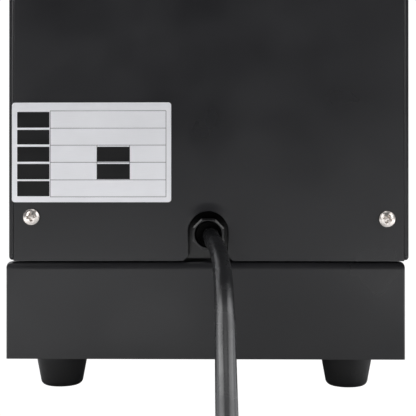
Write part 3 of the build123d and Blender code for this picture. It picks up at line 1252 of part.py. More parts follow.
def can_table():
    """The turning table with its journal, a raised rim and a recess for the pad."""
    recess = TABLE_RADIUS - TABLE_RIM_WIDTH
    table = turned([(0, STEM_TOP - TABLE_JOURNAL_LENGTH),
                    (TABLE_JOURNAL_RADIUS, STEM_TOP - TABLE_JOURNAL_LENGTH),
                    (TABLE_JOURNAL_RADIUS, TABLE_BOTTOM),
                    (TABLE_RADIUS - TABLE_UNDERCUT, TABLE_BOTTOM),
                    (TABLE_RADIUS, TABLE_BOTTOM + TABLE_BEVEL),
                    (TABLE_RADIUS, TABLE_RIM - TABLE_EDGE), (TABLE_RADIUS - TABLE_EDGE, TABLE_RIM),
                    (recess, TABLE_RIM), (recess, PAD_BOTTOM), (0, PAD_BOTTOM)])
    return Pos(0, AXIS_Y, 0) * table


def table_pad():
    """The rubber pad that grips the can's base."""
    radius = TABLE_RADIUS - TABLE_RIM_WIDTH - PAD_PLAY
    pad = turned([(0, PAD_BOTTOM), (radius, PAD_BOTTOM), (radius, TABLE_TOP - PAD_EDGE),
                  (radius - PAD_EDGE, TABLE_TOP), (0, TABLE_TOP)])
    return Pos(0, AXIS_Y, 0) * pad


def control_places():
    """The x of the rocker, the lamp, the button and the knob, from left to right."""
    return [(step - (CONTROL_COUNT - 1) / 2) * CONTROL_PITCH for step in range(CONTROL_COUNT)]


def control_panel():
    """The plate on the head's front that holds the controls."""
    rocker_x, lamp_x, button_x, knob_x = control_places()
    outline = RectangleRounded(CONTROL_WIDTH, CONTROL_HEIGHT, CONTROL_CORNER)
    panel = extrude(Plane.XZ.offset(-HEAD_FRONT) * Pos(0, CONTROL_CENTRE) * outline,
                    CONTROL_THICKNESS)
    front = CONTROL_FACE - 1
    rear = HEAD_FRONT + 1
    panel -= rod_y(lamp_x, front, rear, CONTROL_CENTRE, LAMP_RADIUS + FIT)
    panel -= rod_y(button_x, front, rear, CONTROL_CENTRE, BUTTON_RADIUS + CONTROL_PLAY)
    panel -= rod_y(knob_x, front, rear, CONTROL_CENTRE, KNOB_SHAFT_RADIUS + RUNNING_FIT)
    return panel - rocker_window(front, rear)


def rocker_window(front, rear):
    """The opening that the rocker turns in."""
    half = ROCKER_WIDTH / 2 + CONTROL_PLAY
    tall = ROCKER_HEIGHT / 2 + CONTROL_PLAY
    x = control_places()[0]
    return block(x - half, x + half, front, rear, CONTROL_CENTRE - tall, CONTROL_CENTRE + tall)


def control_bezels():
    """The rims round the rocker, the button and the lamp."""
    rocker_x, lamp_x, button_x, _ = control_places()
    half = ROCKER_WIDTH / 2 + CONTROL_PLAY + BEZEL_RIM
    tall = ROCKER_HEIGHT / 2 + CONTROL_PLAY + BEZEL_RIM
    front = CONTROL_FACE - BEZEL_PROUD
    frame = block(rocker_x - half, rocker_x + half, front, CONTROL_FACE, CONTROL_CENTRE - tall,
                  CONTROL_CENTRE + tall)
    frame = frame - rocker_window(front - 1, CONTROL_FACE + 1)
    rims = [frame]
    for x, radius, play in ((lamp_x, LAMP_RADIUS, FIT), (button_x, BUTTON_RADIUS, CONTROL_PLAY)):
        rim = rod_y(x, front, CONTROL_FACE, CONTROL_CENTRE, radius + BEZEL_RIM)
        rims.append(rim - rod_y(x, front - 1, CONTROL_FACE + 1, CONTROL_CENTRE, radius + play))
    return rims


def start_button():
    """The start button's cap and plunger."""
    x = control_places()[2]
    front = CONTROL_FACE - BUTTON_PROUD
    rear = CONTROL_FACE + BUTTON_SKIRT
    cap = rod_y(x, front, rear, CONTROL_CENTRE, BUTTON_RADIUS)
    cap = fillet(cap.edges().filter_by(GeomType.CIRCLE).sort_by(Axis.Y)[0], BUTTON_EDGE)
    return cap + rod_y(x, rear, rear + BUTTON_STEM_LENGTH, CONTROL_CENTRE, BUTTON_RADIUS / 2)


def indicator_lamp():
    """The indicator's domed lens."""
    x = control_places()[1]
    front = CONTROL_FACE - LAMP_PROUD
    lens = rod_y(x, front, HEAD_FRONT, CONTROL_CENTRE, LAMP_RADIUS)
    dome = Pos(x, front, CONTROL_CENTRE) * Sphere(LAMP_RADIUS)
    return lens + dome.split(Plane.XZ.offset(-front), keep=Keep.TOP)


def speed_knob():
    """The speed knob: a fluted grip, a pointer ridge and a shaft."""
    x = control_places()[3]
    shoulder = KNOB_RADIUS - KNOB_TAPER
    grip = turned([(0, KNOB_GAP), (KNOB_RADIUS, KNOB_GAP), (shoulder, KNOB_HEIGHT - KNOB_EDGE),
                   (shoulder - KNOB_EDGE, KNOB_HEIGHT), (0, KNOB_HEIGHT)])
    cut = Cylinder(KNOB_FLUTE_RADIUS, KNOB_HEIGHT)
    cut = Pos(KNOB_RADIUS + KNOB_FLUTE_OFFSET, 0, KNOB_HEIGHT / 2 + KNOB_SKIRT) * cut
    for flute in range(KNOB_FLUTE_COUNT):
        grip -= Rot(0, 0, 360 * (flute + 0.5) / KNOB_FLUTE_COUNT) * cut
    grip += post(0, 0, -CONTROL_THICKNESS - KNOB_SHAFT_LENGTH, KNOB_GAP, KNOB_SHAFT_RADIUS)
    return Pos(x, CONTROL_FACE, CONTROL_CENTRE) * Rot(90, 0, 0) * grip


def power_rocker():
    """The power switch's rocker, tipped to its off place at rest."""
    x = control_places()[0]
    radius = ROCKER_HEIGHT / 2
    drum = rod_x(-ROCKER_WIDTH / 2, ROCKER_WIDTH / 2, 0, 0, radius)
    depth = 2 * radius
    for side in (-1, 1):
        face = Pos(0, -depth / 2 - ROCKER_LIFT, side * radius / 2) * Box(depth * 2, depth, radius * 2)
        drum -= Rot(side * ROCKER_TILT, 0, 0) * Pos(0, 0, side * radius / 2) * face
    drum -= block(-ROCKER_WIDTH, ROCKER_WIDTH, ROCKER_BACK, depth, -depth, depth)
    return Pos(x, CONTROL_FACE + ROCKER_LIFT, CONTROL_CENTRE) * Rot(-ROCKER_TILT, 0, 0) * drum


def control_board():
    """The control board on its standoffs, with its main components."""
    rear = FRAME_REAR - BOARD_STANDOFF
    centre = (BACK_PLATE_BOTTOM + BACK_PLATE_TOP) / 2
    half = BOARD_WIDTH / 2
    tall = BOARD_HEIGHT / 2
    front = rear - BOARD_THICKNESS
    solids = [block(-half, half, front, rear, centre - tall, centre + tall)]
    inset = 2 * BOARD_MARGIN
    for x, z in bolt_square(0, centre, BOARD_WIDTH - inset, BOARD_HEIGHT - inset):
        solids.append(rod_y(x, rear, FRAME_REAR, z, BOARD_STANDOFF_RADIUS))
    for left, right, height, low, high in BOARD_BLOCKS:
        solids.append(block(left, right, front - height, front, centre + low, centre + high))
    for place in CAPACITOR_PLACES:
        solids.append(rod_y(CAPACITOR_X, front - CAPACITOR_HEIGHT, front, centre + place,
                            CAPACITOR_RADIUS))
    return solids


def route_wire(points):
    """A path of straight runs joined by arcs as large as the runs allow, and its radii."""
    route = [Vector(*point) for point in points]
    radii = []
    for before, corner, after in zip(route, route[1:], route[2:]):
        first = corner - before
        second = after - corner
        turn = radians(first.get_angle(second))
        radii.append(ARC_SHARE * min(first.length, second.length) / tan(turn / 2))
    return FilletPolyline(*route, radius=radii), radii


def cord_tube(points, name):
    """A round tube along a route, with its arcs' radii and its volume printed."""
    path, radii = route_wire(points)
    start = Plane(path @ 0, z_dir=path % 0)
    tube = sweep(start * Circle(CORD_RADIUS), path=path)
    expected = pi * CORD_RADIUS**2 * path.length
    rounded = [round(radius, 1) for radius in radii]
    print(f"{name} radii {rounded} volume {tube.volume:.1f} section times length {expected:.1f}")
    return tube


def cord_coil():
    """The put-away part of the cord, as the outer shape of its turns with two straight ends."""
    centre_x = CORD_ROUTE[-1][0] - COIL_RADIUS
    inner = COIL_MEAN_RADIUS - 2 * CORD_RADIUS
    outer = COIL_MEAN_RADIUS + 2 * CORD_RADIUS
    coil = pipe(0, 0, 0, COIL_HEIGHT, outer, inner)
    coil = fillet(coil.edges().filter_by(GeomType.CIRCLE), CORD_RADIUS * COIL_EDGE_SHARE)
    for side in (-1, 1):
        coil += rod_y(side * COIL_RADIUS, -COIL_STUB, 0, CORD_RADIUS, CORD_RADIUS - COIL_STUB_INSET)
    return Pos(centre_x, COIL_CENTRE_Y, 0) * coil


def power_plug():
    """The moulded plug with its tapered relief, two blades and a round earth pin."""
    end = Vector(*PLUG_ROUTE[-1])
    heading = (end - Vector(*PLUG_ROUTE[-2])).normalized()
    place = Plane(end, x_dir=(0, 0, 1), z_dir=heading)
    relief = Cone(CORD_RADIUS + PLUG_RELIEF_WALL, PLUG_RELIEF_RADIUS, PLUG_RELIEF_LENGTH)
    relief = Pos(0, 0, PLUG_RELIEF_LENGTH / 2) * relief
    body = Box(PLUG_THICKNESS, PLUG_WIDTH, PLUG_LENGTH)
    body = Pos(0, 0, PLUG_RELIEF_LENGTH + PLUG_LENGTH / 2) * body
    body = fillet(edges_along(body, Axis.Z), PLUG_CORNER)
    body = fillet(body.faces().sort_by(Axis.Z)[0].edges(), PLUG_EDGE)
    face = PLUG_RELIEF_LENGTH + PLUG_LENGTH
    blades = []
    for side in (-1, 1):
        blade = Box(BLADE_WIDTH, BLADE_THICKNESS, BLADE_LENGTH)
        blades.append(Pos(BLADE_OFFSET, side * BLADE_HALF_PITCH, face + BLADE_LENGTH / 2) * blade)
    pin_length = BLADE_LENGTH + EARTH_PIN_EXTRA
    pin = Pos(EARTH_PIN_OFFSET, 0, face + pin_length / 2) * Cylinder(EARTH_PIN_RADIUS, pin_length)
    return [place * solid for solid in [relief + body, *blades, pin]]


SUBPARTS = {
    "base_shell": base_shell,
    "bottom_plate": bottom_plate,
    "bottom_plate_screws": bottom_plate_screws,
    "rubber_feet": rubber_feet,
    "foot_screws": foot_screws,
    "column_frame": column_frame,
    "cap_screws": cap_screws,
    "chassis_back_plate": chassis_back_plate,
    "back_plate_screws": back_plate_screws,
    "side_panel_left": lambda: side_panel(-1),
    "side_panel_right": lambda: side_panel(1),
    "side_panel_screws": side_panel_screws,
    "rear_cover": rear_cover,
    "rear_cover_screws": rear_cover_screws,
    "column_front_cover": column_front_cover,
    "head_cover": head_cover,
    "rating_plate": rating_plate,
    "strain_relief_bushing": strain_relief_bushing,
    "head_plate": head_plate,
    "spindle_housing": spindle_housing,
    "spindle_bearings": spindle_bearings,
    "spindle": spindle,
    "seaming_chuck": seaming_chuck,
    "spindle_fasteners": spindle_fasteners,
    "drive_gear": drive_gear,
    "motor_pinion": motor_pinion,
    "motor_bridge": motor_bridge,
    "bridge_pillars": bridge_pillars,
    "motor_gearbox": motor_gearbox,
    "motor_body": motor_body,
    "pivot_screw": pivot_screw,
    "seaming_yoke": seaming_yoke,
    "roller_pins": roller_pins,
    "roller_retainers": roller_retainers,
    "first_roller": lambda: seaming_roller(-ROLLER_X, FIRST_GROOVE_DEPTH, FIRST_GROOVE_RADIUS),
    "second_roller": lambda: seaming_roller(ROLLER_X, SECOND_GROOVE_DEPTH, SECOND_GROOVE_RADIUS),
    "yoke_handle_rod": yoke_handle_rod,
    "yoke_handle_knob": yoke_handle_knob,
    "lift_guide": lift_guide,
    "cam_sleeve": cam_sleeve,
    "sleeve_retaining_ring": sleeve_retaining_ring,
    "lift_lever_rod": lift_lever_rod,
    "lift_lever_knob": lift_lever_knob,
    "lift_stem": lift_stem,
    "cross_pin": cross_pin,
    "thrust_bearing": thrust_bearing,
    "can_table": can_table,
    "table_pad": table_pad,
    "control_panel": control_panel,
    "control_bezels": control_bezels,
    "start_button": start_button,
    "power_rocker": power_rocker,
    "speed_knob": speed_knob,
    "indicator_lamp": indicator_lamp,
    "control_board": control_board,
    "power_cord": lambda: cord_tube(CORD_ROUTE, "power_cord"),
    "cord_coil": cord_coil,
    "plug_lead": lambda: cord_tube(PLUG_ROUTE, "plug_lead"),
    "power_plug": power_plug,
}

os.makedirs("parts", exist_ok=True)
for node, make in SUBPARTS.items():
    made = make()
    solids = made if isinstance(made, list) else [made]
    export_step(Compound(children=[solid for item in solids for solid in item.solids()]),
                f"parts/{node}.step")
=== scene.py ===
"""A bench can seamer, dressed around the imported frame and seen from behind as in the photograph."""
from __future__ import annotations

import logging
import math
from collections.abc import Callable, Iterable
from dataclasses import dataclass, field, replace
from enum import Enum
from typing import Any

import bmesh
import bpy
from mathutils import Matrix, Vector
from mathutils.bvhtree import BVHTree

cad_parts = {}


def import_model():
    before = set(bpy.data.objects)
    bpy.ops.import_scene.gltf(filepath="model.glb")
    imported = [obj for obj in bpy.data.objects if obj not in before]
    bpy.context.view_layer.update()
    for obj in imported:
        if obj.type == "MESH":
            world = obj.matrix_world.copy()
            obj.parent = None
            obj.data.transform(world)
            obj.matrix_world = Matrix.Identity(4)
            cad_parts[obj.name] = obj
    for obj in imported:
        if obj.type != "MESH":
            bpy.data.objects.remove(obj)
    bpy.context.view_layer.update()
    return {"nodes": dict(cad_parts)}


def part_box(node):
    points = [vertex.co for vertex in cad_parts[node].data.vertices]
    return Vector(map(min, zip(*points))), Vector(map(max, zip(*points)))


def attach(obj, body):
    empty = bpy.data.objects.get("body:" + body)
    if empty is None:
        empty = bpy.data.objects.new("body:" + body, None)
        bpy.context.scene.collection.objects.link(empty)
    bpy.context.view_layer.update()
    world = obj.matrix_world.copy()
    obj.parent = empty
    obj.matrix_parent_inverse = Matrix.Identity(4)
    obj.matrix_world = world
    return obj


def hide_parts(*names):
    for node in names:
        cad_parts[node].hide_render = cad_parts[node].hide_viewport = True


LOG = logging.getLogger("can_seamer")
MM = 0.001
SAME_POINT = 1e-6
SAME_PLACE = 1e-5
NO_BEND = math.radians(0.5)
COAT_ROUGHNESS = 0.15
NO_SHEEN = 0.02
WHITE = (1.0, 1.0, 1.0, 1.0)
NOISE_LOW = 0.3
NOISE_HIGH = 0.7
CLOUD_SHARE = 0.6
BRUSH_STRETCH = 0.03


def corners(name: str) -> tuple[Vector, Vector]:
    """Give the lowest and the highest corner of a CAD node."""
    low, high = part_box(name)
    return Vector(low), Vector(high)


def merged(node: bpy.types.Object) -> bmesh.types.BMesh:
    """Copy a CAD node's mesh, with its doubled points joined."""
    bm = bmesh.new()
    bm.from_mesh(node.data)
    bmesh.ops.remove_doubles(bm, verts=bm.verts, dist=SAME_POINT)
    return bm


def connected(parts: Iterable[Any], near: Callable[[Any], Iterable[Any]]) -> list[list[Any]]:
    """Group what hangs together, in the order in which it is found.

    Args:
        parts: Vertices or edges.
        near: Gives the neighbours of one of them.

    Returns:
        The groups.
    """
    parts = list(parts)
    left = set(parts)
    found = []
    for start in parts:
        if start not in left:
            continue
        left.remove(start)
        group = [start]
        for part in group:
            for other in near(part):
                if other in left:
                    left.remove(other)
                    group.append(other)
        found.append(group)
    return found


def solids(bm: bmesh.types.BMesh) -> list[list[bmesh.types.BMVert]]:
    """Split a mesh into the vertices of its separate solids."""
    return connected(bm.verts, lambda vert: [edge.other_vert(vert) for edge in vert.link_edges])


def skin(bm: bmesh.types.BMesh, rows: list[list[bmesh.types.BMVert]], closed: bool = False,
         capped: bool = True) -> None:
    """Join rings of vertices by strips of faces.

    Args:
        bm: The mesh.
        rows: The rings, in order.
        closed: Whether the last ring is joined to the first.
        capped: Whether the first and the last ring are filled, where they aren't joined.
    """
    for first, second in zip(rows, rows[1:] + rows[:1] if closed else rows[1:]):
        for step in range(len(first)):
            after = (step + 1) % len(first)
            bm.faces.new((first[step], first[after], second[after], second[step]))
    if capped and not closed:
        bm.faces.new(rows[0])
        bm.faces.new(list(reversed(rows[-1])))


def add(tree: bpy.types.NodeTree, kind: str, values: dict[Any, Any] | None = None,
        feeds: dict[Any, bpy.types.NodeSocket] | None = None, **settings: str) -> bpy.types.Node:
    """Add a node to a tree.

    Args:
        tree: The tree.
        kind: The node's type.
        values: Constants by input.
        feeds: The sockets that feed its inputs.
        settings: What the node itself is set to.

    Returns:
        The new node.
    """
    node = tree.nodes.new(kind)
    for key, value in settings.items():
        setattr(node, key, value)
    for key, value in (values or {}).items():
        node.inputs[key].default_value = value
    for key, socket in (feeds or {}).items():
        tree.links.new(socket, node.inputs[key])
    return node


class Pattern(Enum):
    """What the fine surface of a finish looks like."""

    COAT = "powder coat with a soft orange peel"
    MOULDED = "moulded plastic"
    RUBBER = "dull rubber"
    BRUSHED = "straight brush lines"
    TURNED = "rings left by the lathe"
    CAST = "sand cast skin"
    SHEET = "plated sheet with soft clouds"
    PLAIN = "smooth and polished"


class Axis(Enum):
    """The direction of brush lines or of a lathe's axis."""

    X = (1.0, 0.0, 0.0)
    Y = (0.0, 1.0, 0.0)
    Z = (0.0, 0.0, 1.0)


@dataclass(frozen=True)
class Finish:
    """One finish, with its colour, gloss and fine surface."""

    name: str
    colour: tuple[float, float, float]
    roughness: float = 0.45
    metallic: float = 0.0
    pattern: Pattern = Pattern.COAT
    grain: float = 0.9
    bump: float = 0.01
    clouds: float = 40.0
    colour_spread: float = 0.12
    rough_spread: float = 0.06
    coat: float = 0.0
    specular: float = 0.5
    axis: Axis = Axis.Z
    centre: tuple[float, float, float] = (0.0, 0.0, 0.0)
    # Painted shade: heights between which the sheen dies away towards the top, if they differ.
    painted_shade_heights: tuple[float, float] = (0.0, 0.0)

    def material(self) -> bpy.types.Material:
        """Build the finish's material once.

        Returns:
            The material, new or already made.
        """
        made = bpy.data.materials.get(self.name)
        if made is not None:
            return made
        material = bpy.data.materials.new(self.name)
        material.use_nodes = True
        material.diffuse_color = (*self.colour, 1.0)
        tree = material.node_tree
        shader = tree.nodes["Principled BSDF"]
        for name, value in (("Metallic", self.metallic), ("Specular IOR Level", self.specular),
                            ("Coat Weight", self.coat), ("Coat Roughness", COAT_ROUGHNESS)):
            shader.inputs[name].default_value = value
        place = add(tree, "ShaderNodeTexCoord").outputs["Object"]
        clouds = self._noise(tree, place, 1.0 / (self.clouds * MM), 3.0)
        fine = self._noise(tree, self._stretched(tree, place), 1.0 / (self.grain * MM), 4.0)
        self._tint(tree, shader, clouds, fine)
        self._gloss(tree, shader, clouds, fine)
        # Painted shade: darker towards the top where the heights are given.
        if self.painted_shade_heights[1] > self.painted_shade_heights[0]:
            self._paint_shade(tree, shader, place)
        if self.bump > 0.0:
            bump = add(tree, "ShaderNodeBump", {"Strength": 1.0, "Distance": self.bump * MM},
                       {"Height": fine})
            tree.links.new(bump.outputs["Normal"], shader.inputs["Normal"])
        return material

    @staticmethod
    def _noise(tree: bpy.types.NodeTree, place: bpy.types.NodeSocket, scale: float,
               detail: float) -> bpy.types.NodeSocket:
        """Add a noise texture.

        Args:
            tree: The material's nodes.
            place: The coordinates it reads.
            scale: Cells per metre.
            detail: Octaves of finer noise.

        Returns:
            The noise's factor.
        """
        return add(tree, "ShaderNodeTexNoise", {"Scale": scale, "Detail": detail},
                   {"Vector": place}).outputs["Fac"]

    def _stretched(self, tree: bpy.types.NodeTree,
                   place: bpy.types.NodeSocket) -> bpy.types.NodeSocket:
        """Turn object coordinates into those of the pattern.

        Args:
            tree: The material's nodes.
            place: The object coordinates.

        Returns:
            Coordinates along the brush lines or round the lathe's axis, or the plain ones.
        """
        along = Vector(self.axis.value)
        if self.pattern is Pattern.BRUSHED:
            return add(tree, "ShaderNodeMapping", {"Scale": [BRUSH_STRETCH if a else 1.0 for a in along]},
                       {"Vector": place}).outputs["Vector"]
        if self.pattern is not Pattern.TURNED:
            return place
        mapping = add(tree, "ShaderNodeMapping", {"Location": [-c for c in self.centre]},
                      {"Vector": place}).outputs["Vector"]
        across = add(tree, "ShaderNodeVectorMath", {1: [0.0 if a else 1.0 for a in along]}, {0: mapping},
                     operation="MULTIPLY")
        radius = add(tree, "ShaderNodeVectorMath", {}, {0: across.outputs["Vector"]}, operation="LENGTH")
        height = add(tree, "ShaderNodeVectorMath", {1: along}, {0: mapping}, operation="DOT_PRODUCT")
        joined = add(tree, "ShaderNodeCombineXYZ", {}, {"X": radius.outputs["Value"],
                                                        "Z": height.outputs["Value"]})
        return joined.outputs["Vector"]

    def _tint(self, tree: bpy.types.NodeTree, shader: bpy.types.Node, clouds: bpy.types.NodeSocket,
              fine: bpy.types.NodeSocket) -> None:
        """Vary the colour a little from place to place.

        Args:
            tree: The material's nodes.
            shader: Its surface shader.
            clouds: Broad noise.
            fine: The pattern's noise.
        """
        part = add(tree, "ShaderNodeMath", {1: 1.0 - CLOUD_SHARE}, {0: fine}, operation="MULTIPLY")
        both = add(tree, "ShaderNodeMath", {1: CLOUD_SHARE}, {0: clouds, 2: part.outputs[0]},
                   operation="MULTIPLY_ADD")
        ramp = add(tree, "ShaderNodeValToRGB", {}, {"Fac": both.outputs[0]})
        low, high = ramp.color_ramp.elements
        low.position = NOISE_LOW
        high.position = NOISE_HIGH
        low.color = (*[c * (1.0 - self.colour_spread) for c in self.colour], 1.0)
        high.color = (*[min(1.0, c * (1.0 + self.colour_spread)) for c in self.colour], 1.0)
        tree.links.new(ramp.outputs["Color"], shader.inputs["Base Color"])

    def _gloss(self, tree: bpy.types.NodeTree, shader: bpy.types.Node, clouds: bpy.types.NodeSocket,
               fine: bpy.types.NodeSocket) -> None:
        """Vary the roughness a little from place to place.

        Args:
            tree: The material's nodes.
            shader: Its surface shader.
            clouds: Broad noise.
            fine: The pattern's noise.
        """
        streaky = self.pattern in (Pattern.BRUSHED, Pattern.TURNED)
        spread = add(tree, "ShaderNodeMapRange",
                     {"From Min": NOISE_LOW, "From Max": NOISE_HIGH,
                      "To Min": max(NO_SHEEN, self.roughness - self.rough_spread),
                      "To Max": min(1.0, self.roughness + self.rough_spread)},
                     {"Value": fine if streaky else clouds})
        tree.links.new(spread.outputs["Result"], shader.inputs["Roughness"])

    def _paint_shade(self, tree: bpy.types.NodeTree, shader: bpy.types.Node,
               place: bpy.types.NodeSocket) -> None:
        """Paint shade: let the sheen die away with height between the two given heights, so the surface is
        darker towards the top.

        Args:
            tree: The material's nodes.
            shader: Its surface shader.
            place: The object coordinates.
        """
        height = add(tree, "ShaderNodeSeparateXYZ", {}, {0: place})
        sheen = add(tree, "ShaderNodeMapRange",
                    {"From Min": self.painted_shade_heights[0], "From Max": self.painted_shade_heights[1], "To Min": self.specular,
                     "To Max": NO_SHEEN}, {"Value": height.outputs["Z"]}, interpolation_type="SMOOTHSTEP")
        tree.links.new(sheen.outputs["Result"], shader.inputs["Specular IOR Level"])


BLACK_COAT = Finish("black_powder_coat_finish", (0.0115, 0.0115, 0.0132), 0.33, grain=0.55, bump=0.003)
RUBBER = Finish("black_rubber_finish", (0.008, 0.008, 0.0085), 0.55, pattern=Pattern.RUBBER, grain=0.35,
                bump=0.012, clouds=9.0, specular=0.4)
BRIGHT_STEEL = Finish("bright_screw_finish", (0.8, 0.75, 0.71), 0.3, 0.88, Pattern.SHEET, 0.6, 0.004, 3.0)
BLACK_STEEL = Finish("black_screw_finish", (0.035, 0.035, 0.04), 0.38, 0.8, Pattern.SHEET, 0.5, 0.008, 4.0)
ZINC_SHEET = Finish("zinc_sheet_finish", (0.5, 0.51, 0.53), 0.36, 1.0, Pattern.SHEET, 4.0, 0.01, 18.0,
                    rough_spread=0.1)
GREY_STEEL = Finish("grey_steel_finish", (0.34, 0.34, 0.35), 0.42, 1.0, Pattern.SHEET, 2.5, 0.012, 22.0,
                    rough_spread=0.1)
# The inner plate's sheen dies away towards the top of the cord notch: painted shade standing in for the
# cover's shadow over the notch.
INNER_COAT_PAINTED_SHADE = Finish("inner_plate_painted_shade_finish", (0.003, 0.003, 0.0033), 0.2, grain=0.55, bump=0.0,
                    rough_spread=0.02, painted_shade_heights=(76.0 * MM, 89.0 * MM))
# The gland's rubber is darker and duller than the feet's: black rubber, plus painted shade that darkens the
# strain relief's mouth.
GLAND_RUBBER = Finish("gland_rubber_finish", (0.003, 0.003, 0.003), 0.6, pattern=Pattern.RUBBER, grain=0.35,
                      bump=0.01, clouds=9.0, specular=0.12)
PLATE_METAL = Finish("plate_finish", (0.89, 0.89, 0.92), 0.36, 0.5, Pattern.BRUSHED, 0.22, 0.003, 30.0,
                     colour_spread=0.05, axis=Axis.X)
BLACK_INK = Finish("black_field_finish", (0.006, 0.006, 0.0065), 0.4, pattern=Pattern.PLAIN, grain=0.3,
                   bump=0.002, clouds=10.0, specular=0.25)
GREY_INK = Finish("grey_line_finish", (0.16, 0.16, 0.17), 0.45, pattern=Pattern.PLAIN, grain=0.3,
                  bump=0.001, clouds=10.0)
NYLON = Finish("black_nylon_finish", (0.008, 0.008, 0.0085), 0.2, pattern=Pattern.MOULDED, grain=0.7,
               bump=0.003, clouds=8.0)
SHEATH = Finish("cord_sheath_finish", (0.014, 0.0142, 0.0153), 0.25, pattern=Pattern.MOULDED, grain=1.6,
                bump=0.012, clouds=14.0, specular=0.4)
TURNED_STEEL = Finish("turned_steel_finish", (0.55, 0.55, 0.56), 0.26, 1.0, Pattern.TURNED, 0.35, 0.006, 12.0,
                      rough_spread=0.1)
TOOL_STEEL = Finish("tool_steel_finish", (0.42, 0.42, 0.44), 0.2, 1.0, Pattern.TURNED, 0.28, 0.004, 12.0,
                    rough_spread=0.08)
CAM_STEEL = Finish("cam_steel_finish", (0.3, 0.3, 0.315), 0.32, 1.0, Pattern.TURNED, 0.4, 0.006, 15.0)
CAST_ALLOY = Finish("cast_aluminium_finish", (0.5, 0.51, 0.52), 0.5, 0.9, Pattern.CAST, 1.4, 0.05, 16.0)
MOTOR_PAINT = Finish("motor_paint_finish", (0.03, 0.034, 0.04), 0.4, pattern=Pattern.CAST, grain=1.8,
                     bump=0.03)
PANEL_PLASTIC = Finish("panel_plastic_finish", (0.03, 0.03, 0.032), 0.5, pattern=Pattern.MOULDED, grain=0.4,
                       bump=0.01, clouds=25.0)
SWITCH_PLASTIC = Finish("switch_plastic_finish", (0.02, 0.02, 0.021), 0.3, pattern=Pattern.MOULDED,
                        grain=0.5, bump=0.004, clouds=12.0)
GREEN_PLASTIC = Finish("green_plastic_finish", (0.02, 0.22, 0.055), 0.3, pattern=Pattern.MOULDED, grain=0.5,
                       bump=0.004, clouds=9.0, coat=0.3)
AMBER_LENS = Finish("lamp_lens_finish", (0.75, 0.22, 0.02), 0.12, pattern=Pattern.PLAIN, grain=1.2,
                    bump=0.003, clouds=8.0, coat=0.6)
BOARD_GREEN = Finish("board_finish", (0.02, 0.12, 0.05), 0.35, pattern=Pattern.MOULDED, grain=1.1,
                     bump=0.01, clouds=7.0, colour_spread=0.35, coat=0.4)
WHITE_MARK = Finish("white_mark_finish", (0.78, 0.78, 0.76), 0.5, pattern=Pattern.PLAIN, grain=0.3,
                    bump=0.002, clouds=10.0)


def dress(nodes: dict[str, bpy.types.Object], name: str, finish: Finish) -> None:
    """Give a CAD node its finish.

    Args:
        nodes: The frame's nodes.
        name: The node.
        finish: What it gets.
    """
    node = nodes[name]
    for slot in node.material_slots:
        slot.material = finish.material()
    LOG.info("dressed %s with %s", name, finish.name)


def dress_all(nodes: dict[str, bpy.types.Object], finishes: dict[str, Finish],
              lathe: bool = False) -> None:
    """Give many CAD nodes their finishes.

    Args:
        nodes: The frame's nodes.
        finishes: The finish of each node.
        lathe: Whether turned finishes are centred on their own node.
    """
    for name, finish in finishes.items():
        if lathe and finish.pattern is Pattern.TURNED:
            low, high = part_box(name)
            centre = tuple((a + b) / 2 for a, b in zip(low, high))
            finish = replace(finish, name=f"{finish.name}_{name}", centre=centre)
        dress(nodes, name, finish)


def new_piece(name: str, bm: bmesh.types.BMesh, finish: Finish, smooth_angle: float = 35.0,
              body: str = "frame", turn: bool = True, weigh: bool = False) -> bpy.types.Object:
    """Make an object of a mesh in the frame's own coordinates.

    Args:
        name: The piece's name.
        bm: Its mesh in metres, which is freed.
        finish: Its finish.
        smooth_angle: Edges sharper than this stay sharp.
        body: The body that it rides on.
        turn: Whether its faces still have to be turned outwards.
        weigh: Whether its flat faces keep their shading up to the rounded edges.

    Returns:
        The new object.
    """
    if turn:
        bmesh.ops.recalc_face_normals(bm, faces=bm.faces)
    mesh = bpy.data.meshes.new(name)
    bm.to_mesh(mesh)
    bm.free()
    mesh.materials.append(finish.material())
    mesh.shade_smooth()
    mesh.set_sharp_from_angle(angle=math.radians(smooth_angle))
    piece = bpy.data.objects.new(name, mesh)
    bpy.context.scene.collection.objects.link(piece)
    if weigh:
        piece.modifiers.new("weigh", "WEIGHTED_NORMAL").keep_sharp = True
        graph = bpy.context.evaluated_depsgraph_get()
        piece.data = bpy.data.meshes.new_from_object(piece.evaluated_get(graph))
        piece.modifiers.clear()
    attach(piece, body)
    LOG.info("built %s, %d faces", name, len(piece.data.polygons))
    return piece


def islands(node: bpy.types.Object) -> list[list[Vector]]:
    """Split a CAD node into its separate solids.

    Args:
        node: The node's object.

    Returns:
        The points of each solid.
    """
    bm = merged(node)
    groups = [[vert.co.copy() for vert in group] for group in solids(bm)]
    bm.free()
    return groups


